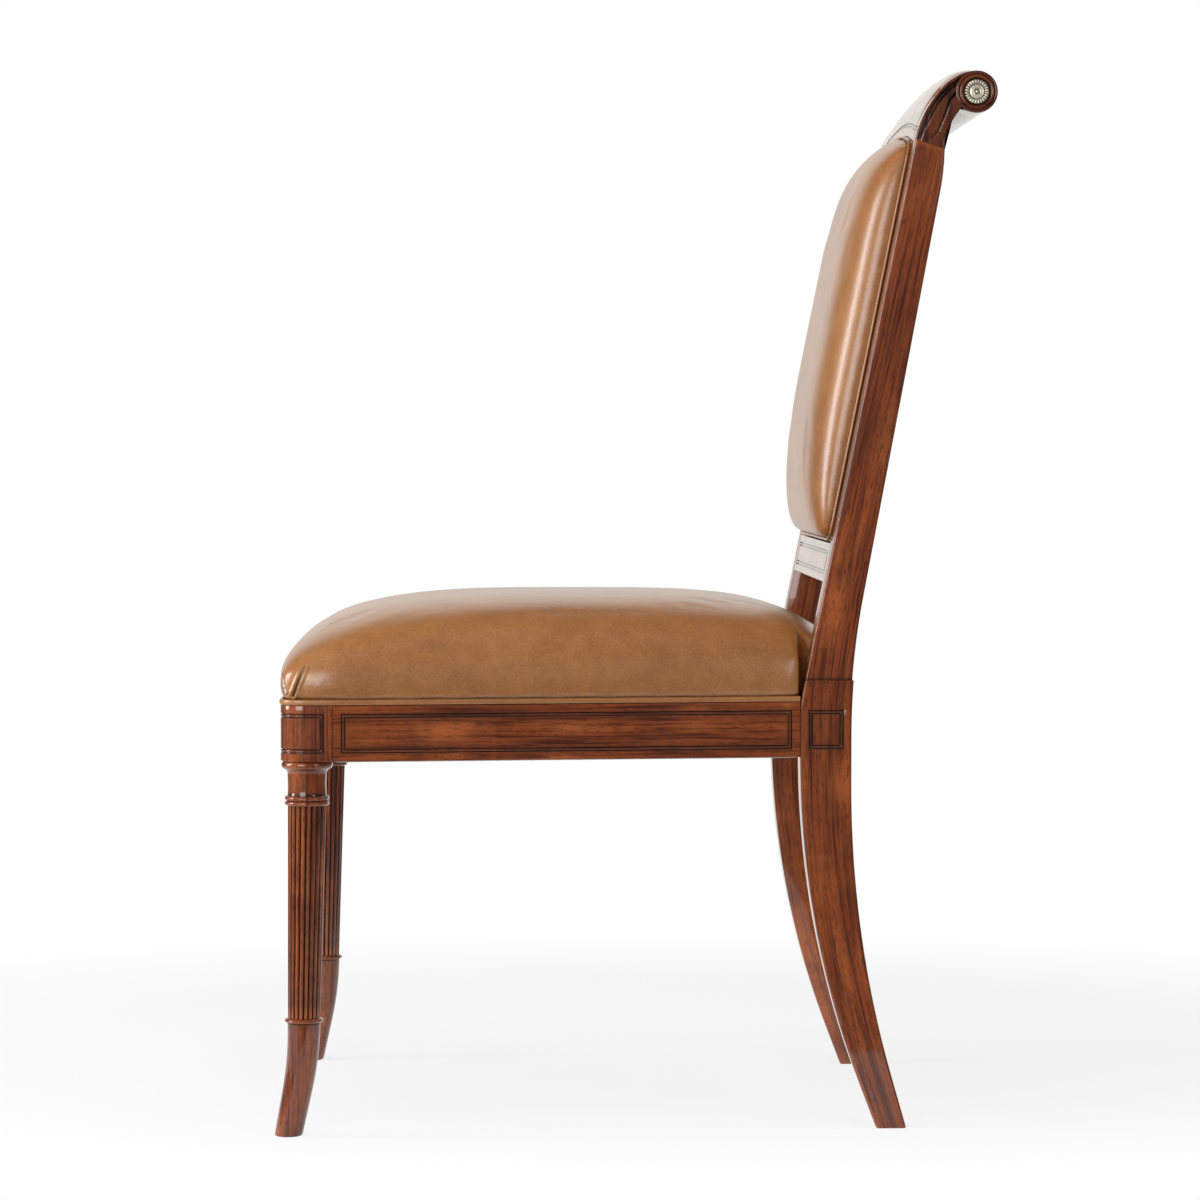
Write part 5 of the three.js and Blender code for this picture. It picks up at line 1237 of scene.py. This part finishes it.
def noise(place, scale, detail=3.0, roughness=0.55, distortion=0.0):
    """A noise value from 0 to 1. A scale of three amounts draws it out along the grain."""
    if isinstance(scale, tuple):
        place, scale = wire("VectorMath", {0: place, 1: scale}, operation="MULTIPLY")[0], 1.0
    return wire("TexNoise", {"Vector": place, "Scale": scale, "Detail": detail, "Roughness": roughness,
                             "Distortion": distortion})["Fac"]


def attribute(name, output="Fac"):
    """What the piece's mesh keeps under a name."""
    return wire("Attribute", attribute_name=name)[output]


def effect(name, *labels):
    """Opens a new node group with an input for each label: a Place, tones and numbers."""
    opened(bpy.data.node_groups.new(name, "ShaderNodeTree"))
    for label in labels:
        kind = "Vector" if label == "Place" else "Color" if label in TONES else "Float"
        tree.interface.new_socket(label, in_out="INPUT", socket_type="NodeSocket" + kind)
    return tree.nodes.new("NodeGroupInput").outputs


def give(**results):
    """Ends the opened group with an output for each result, and gives it back."""
    for label in results:
        kind = "Color" if label in TONES else "Float"
        tree.interface.new_socket(label, in_out="OUTPUT", socket_type="NodeSocket" + kind)
    join(tree.nodes.new("NodeGroupOutput").inputs, results)
    return tree


def finish(name, group, along_plank, reads, bump, values, extras):
    """A material from a group. The place comes from the piece's plank attribute or Object coordinates,
    other inputs from the attributes it reads or from values. Outputs go to the Principled inputs, the
    height through a bump with a strength and a distance; extras are set on the shader itself."""
    made = material(name)
    made.use_nodes = True
    inputs = opened(made.node_tree)["Principled BSDF"].inputs
    place = attribute("plank", "Vector") if along_plank else wire("TexCoord")["Object"]
    node = configured(tree.nodes.new("ShaderNodeGroup"), node_tree=group)
    join(node.inputs, {"Place": place, **{key: attribute(key.lower()) for key in reads}, **values})
    join(inputs, {LED_TO[key]: node.outputs[key] for key in node.outputs.keys() if key in LED_TO})
    join(inputs, extras)
    if "Height" in node.outputs:
        strength, distance = bump
        bumped = wire("Bump", {"Height": node.outputs["Height"], "Strength": strength, "Distance": distance})
        join(inputs, {"Normal": bumped[0]})
    return made


# %% [markdown]
# Wood: long streaks of pale and dark along the grain, a slow ribbon figure across it, and short open
# pores. The place comes in metres with the grain along x. The carving is painted a near-black glaze:
# old polish gathered there, and painted shade in the grooves and recesses. Sharp edges and crowns are
# painted paler: rubbed wear, and a painted highlight.

# %% The wood group
given = effect("figured_wood", "Place", "Carved", "Edge", "Pale", "Middle", "Dark", "Glaze", "Rough")
place, pale, dark = given["Place"], given["Pale"], given["Dark"]
stretch = wire("VectorMath", {0: place, 1: (3, 14, 14)}, operation="MULTIPLY")[0]
waver = wire("TexNoise", {"Vector": stretch, "Scale": 1.0, "Detail": 2.0})["Color"]
bent = wire("VectorMath", {0: waver, 1: (0.012, 0.012, 0.012), 2: place}, operation="MULTIPLY_ADD")[0]
streaks = noise(bent, (10, 380, 380), 5.0, 0.62)
broad = ramp(noise(bent, (3.5, 60, 60), 3.0, 0.5), 0.42, 0.68)
ribbon = ramp(noise(place, (26, 9, 9), 2.0, 0.5, 0.6), 0.35, 0.7, 0.15, 0.75)
pores = ramp(noise(bent, (110, 1100, 1100), 2.0, 0.6), 0.56, 0.66)
blotch = noise(place, (9, 24, 24), 4.0, 0.6, 0.5)
# Near-black glaze where the mask is high: old polish and painted shade.
glaze_and_shade_share = result_of("MULTIPLY", given["Carved"], ramp(noise(place, 60.0), 0.2, 0.6, 0.72, 1.0))
# The Edge share paints sharp edges and crowns paler: rubbed wear and a painted highlight.
colour = layered(
    dark, (ramp(streaks, 0.34, 0.6), given["Middle"]), (result_of("MULTIPLY", broad, ribbon), pale),
    (ramp(blotch, 0.44, 0.7, 0.0, 0.4), dark), (result_of("MULTIPLY", pores, 0.75), dark),
    (ramp(given["Edge"], 0.05, 0.4, 0.0, 0.65), pale), (glaze_and_shade_share, given["Glaze"]))
smudge = ramp(noise(place, 22.0, 3.0, 0.6), 0.3, 0.7, -0.05, 0.07)
rough = result_of("ADD", given["Rough"], smudge, result_of("MULTIPLY", glaze_and_shade_share, 0.25))
height = result_of("ADD", result_of("MULTIPLY", streaks, 0.25), result_of("MULTIPLY", pores, -0.6))
wood = give(Color=colour, Roughness=rough, Height=height)

# The glaze colour is the near-black of old polish and painted shade in the carving.
finish("mahogany", wood, True, ("Carved", "Edge"), (0.22, 0.0003),
       {"Pale": (0.43, 0.115, 0.028), "Middle": (0.23, 0.052, 0.014), "Dark": (0.06, 0.012, 0.005),
        "Glaze": (0.008, 0.003, 0.002), "Rough": 0.32},
       {"Coat Weight": 0.9, "Coat Roughness": 0.05, "Specular IOR Level": 0.15})
beech = finish("beech", wood, False, (), (0.5, 0.0003),
               {"Pale": (0.66, 0.46, 0.27), "Middle": (0.52, 0.34, 0.19), "Dark": (0.36, 0.22, 0.12),
                "Glaze": (0.2, 0.12, 0.06), "Rough": 0.55}, {})

# %% [markdown]
# Leather: a fine pebble from the skin's own cells, soft mottling of the dye, and a few faint streaks.
# The dye is paler where the hide is stretched over the crown, and dark down in the folds and joints.
# Down in the seat's folds and along its welt's joint the leather is painted near black: painted shade.
# Down in the seat's folds and along its welt's joint the leather is painted near black: painted shade.

# %% The leather
given = effect("aniline_hide", "Place", "Pale", "Middle", "Dark", "Rough", "Grain")
place, pale, dark = given["Place"], given["Pale"], given["Dark"]
clouds = noise(place, 9.0, 6.0, 0.68, 0.8)
spots = noise(place, 55.0, 4.0, 0.6)
flecks = noise(place, 420.0, 2.0, 0.6)
wrinkle = noise(place, 260.0, 4.0, 0.65, 0.4)
creases = noise(place, 90.0, 3.0, 0.6, 0.6)
cells = wire("TexVoronoi", {"Vector": place, "Scale": given["Grain"], "Randomness": 1.0},
             feature="DISTANCE_TO_EDGE")["Distance"]
pits = ramp(cells, 0.0, 0.16, 1.0, 0.0)
colour = layered(
    dark, (ramp(clouds, 0.15, 0.6, 0.25, 1.0), given["Middle"]), (ramp(clouds, 0.45, 0.85, 0.0, 0.5), pale),
    (ramp(spots, 0.35, 0.75, 0.0, 0.3), dark), (ramp(flecks, 0.5, 0.7, 0.0, 0.3), dark),
    (ramp(flecks, 0.5, 0.3, 0.0, 0.3), pale), (result_of("MULTIPLY", pits, 0.16), dark))
rough = result_of("ADD", given["Rough"], ramp(spots, 0.3, 0.7, 0.06, -0.05),
                  result_of("MULTIPLY", pits, 0.1))
height = result_of("ADD", result_of("MULTIPLY", pits, -0.5), result_of("MULTIPLY", wrinkle, 1.8),
                   result_of("MULTIPLY", creases, 9.0))
hide = give(Color=colour, Roughness=rough, Height=height)

leather = finish("leather", hide, False, (), (0.22, 0.0004),
                 {"Pale": (0.46, 0.220, 0.066), "Middle": (0.355, 0.138, 0.031),
                  "Dark": (0.21, 0.070, 0.014), "Rough": 0.42, "Grain": 700.0},
                 {"Specular IOR Level": 0.35, "Coat Weight": 1.0, "Coat IOR": 1.55, "Coat Roughness": 0.3})
# The leather is blended to near black along the welt's joint and in the folds: painted shade.
base = tree.nodes["Principled BSDF"].inputs["Base Color"]
tree.links.new(blend(attribute("sunk"), base.links[0].from_socket, (0.035, 0.012, 0.004)), base)

# %% [markdown]
# Cast brass has gone dull and brown in its hollows and stays bright on the crowns of the petals. The
# screws are plain steel with the same tarnish, only weaker.

# %% Brass and steel
given = effect("tarnished_metal", "Place", "Carved", "Bright", "Tarnish", "Rough")
place, tarnish = given["Place"], given["Tarnish"]
bloom = ramp(noise(place, 420.0, 5.0, 0.65), 0.45, 0.75, 0.0, 0.45)
stain = ramp(noise(place, 90.0, 3.0, 0.6), 0.4, 0.7, 0.0, 0.25)
dull = result_of("MAXIMUM", given["Carved"], bloom)
metal = give(Color=layered(given["Bright"], (dull, tarnish), (stain, tarnish)),
             Roughness=result_of("ADD", given["Rough"], result_of("MULTIPLY", dull, 0.3)),
             Metallic=ramp(dull, 0.3, 1.0, 0.55, 0.25))

finish("brass", metal, False, ("Carved",), (), {"Bright": (0.95, 0.88, 0.69),
                                                "Tarnish": (0.04, 0.025, 0.012), "Rough": 0.28}, {})
steel = finish("steel", metal, False, (), (), {"Bright": (0.52, 0.52, 0.54),
                                               "Tarnish": (0.18, 0.16, 0.15), "Rough": 0.38}, {})

# %% [markdown]
# Jute webbing and cambric are both plain weaves. The group makes two sets of threads at right angles,
# and a checker between them says which set lies on top, so each thread shows over every second one.

# %% Woven cloths
given = effect("plain_weave", "Place", "Threads", "Pale", "Dark")
turns_per_metre = result_of("MULTIPLY", given["Threads"], math.pi)
waves = []
for along in wire("SeparateXYZ", {0: given["Place"]})[:2]:
    turns = result_of("MULTIPLY", along, turns_per_metre)
    waves.append(wire("Math", {0: turns}, operation="SINE")[0])
ridges = [wire("Math", {0: wave}, operation="ABSOLUTE")[0] for wave in waves]
over = ramp(result_of("MULTIPLY", *waves), -0.4, 0.4)
height = wire("Mix", {0: over, 2: ridges[0], 3: ridges[1]}, data_type="FLOAT")[0]
fuzz = ramp(noise(given["Place"], 1800.0, 3.0, 0.7), 0.3, 0.7, -0.25, 0.25)
# Thread crowns are painted paler, and the dips beside the crossing threads darker: painted shade.
shade = ramp(result_of("ADD", height, fuzz), 0.1, 0.9)
weave = give(Color=blend(shade, given["Dark"], given["Pale"]), Height=height)

for name, along_plank, threads, pale, dark in (
        ("webbing", True, 620.0, (0.52, 0.38, 0.21), (0.24, 0.15, 0.07)),
        ("cambric", False, 900.0, (0.045, 0.042, 0.040), (0.012, 0.011, 0.011))):
    finish(name, weave, along_plank, (), (0.6, 0.0003), {"Threads": threads, "Pale": pale, "Dark": dark},
           {"Roughness": 0.9})

# %% [markdown]
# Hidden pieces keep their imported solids: dowels and corner blocks in beech, and the screws in steel.
# The back's inner frame shows at the corners of the pad, where the leather is turned round it.

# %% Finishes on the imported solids
HIDDEN = {"crest_dowel": beech, "front_corner_block": beech, "rear_corner_block": beech,
          "back_frame": leather, "front_corner_screw": steel, "rear_corner_screw": steel}
for piece in scene.objects:
    for start, wanted in HIDDEN.items():
        if piece.type == "MESH" and piece.name.startswith(start):
            piece.data.materials.clear()
            piece.data.materials.append(wanted)

# %% [markdown]
# The stage is a pale floor and plain studio light. The world looks white to the camera through Light
# Path, and mirrored rays see that white only behind the chair, and a dark room elsewhere, so that the
# polish isn't hazy. The small floor glows white too, but keeps the chair's soft shadow near its feet.

# %% The stage and the lights
WHITE = (1, 1, 1)
scene.view_settings.view_transform = "Standard"


def softbox(name, place, width, height, watts, aim=(0, 0, 0.5)):
    """A rectangular area lamp at a place, turned to its aim."""
    lamp = configured(bpy.data.lights.new(name, "AREA"), shape="RECTANGLE", size=width, size_y=height,
                      energy=watts)
    return aimed(lamp, place, aim)


softbox("front_window", (0.3, -3.2, 1.3), 1.0, 1.9, 75)
softbox("camera_fill", (3.7, -1.85, 1.2), 2.2, 1.9, 84, (0, 0, 0.55))
softbox("rear_fill", (3.1, 2.4, 1.6), 0.9, 1.6, 20)
softbox("top", (0.4, -0.2, 3.2), 2.6, 2.6, 40).visible_glossy = False


def seen_rays(*kinds):
    """One for rays of the given kinds, else zero."""
    path = wire("LightPath")
    return result_of("MAXIMUM", *[path[f"Is {kind} Ray"] for kind in kinds])


scene.world = bpy.data.worlds.new("studio")
scene.world.use_nodes = True
background = opened(scene.world.node_tree)["Background"]
toward_backdrop = wire("VectorMath", {0: wire("TexCoord")["Generated"], 1: (-0.99, 0.14, 0)},
                       operation="DOT_PRODUCT")["Value"]
mirrored_rays = seen_rays("Glossy")
mirrored_white = result_of("MULTIPLY", mirrored_rays, ramp(toward_backdrop, 0.66, 0.92))
tint = layered((0.30, 0.30, 0.31), (mirrored_rays, (0.07, 0.07, 0.075)),
               (mirrored_white, (0.96, 0.95, 0.90)), (seen_rays("Camera", "Transmission"), WHITE))
join(background.inputs, {"Color": tint})

floor_mesh = bpy.data.meshes.new("floor")
floor_mesh.from_pydata([(-1.5, -1.5, 0), (0.7, -1.5, 0), (0.7, 1.5, 0), (-1.5, 1.5, 0)], [], [(0, 1, 2, 3)])
floor_mesh.materials.append(material("floor_paint"))
add("floor", floor_mesh)
material("floor_paint").use_nodes = True
nodes = opened(material("floor_paint").node_tree)
join(nodes["Principled BSDF"].inputs, {"Base Color": (0.76, 0.76, 0.76), "Roughness": 0.9,
                                       "Specular IOR Level": 0.1})
glow = wire("Emission", {"Color": WHITE, "Strength": 1.0})[0]
centred = wire("Mapping", {"Vector": wire("TexCoord")["Object"], "Location": (0.36, 0, 0),
                           "Scale": (0.91, 0.68, 1)})[0]
near = ramp(wire("VectorMath", {0: centred}, operation="LENGTH")["Value"], 0.35, 0.94, 0.78, 1.0)
share = result_of("MULTIPLY", near, seen_rays("Camera", "Transmission", "Glossy"))
mixed = wire("MixShader", {0: share, 1: nodes["Principled BSDF"].outputs[0], 2: glow})[0]
join(nodes["Material Output"].inputs, {"Surface": mixed})
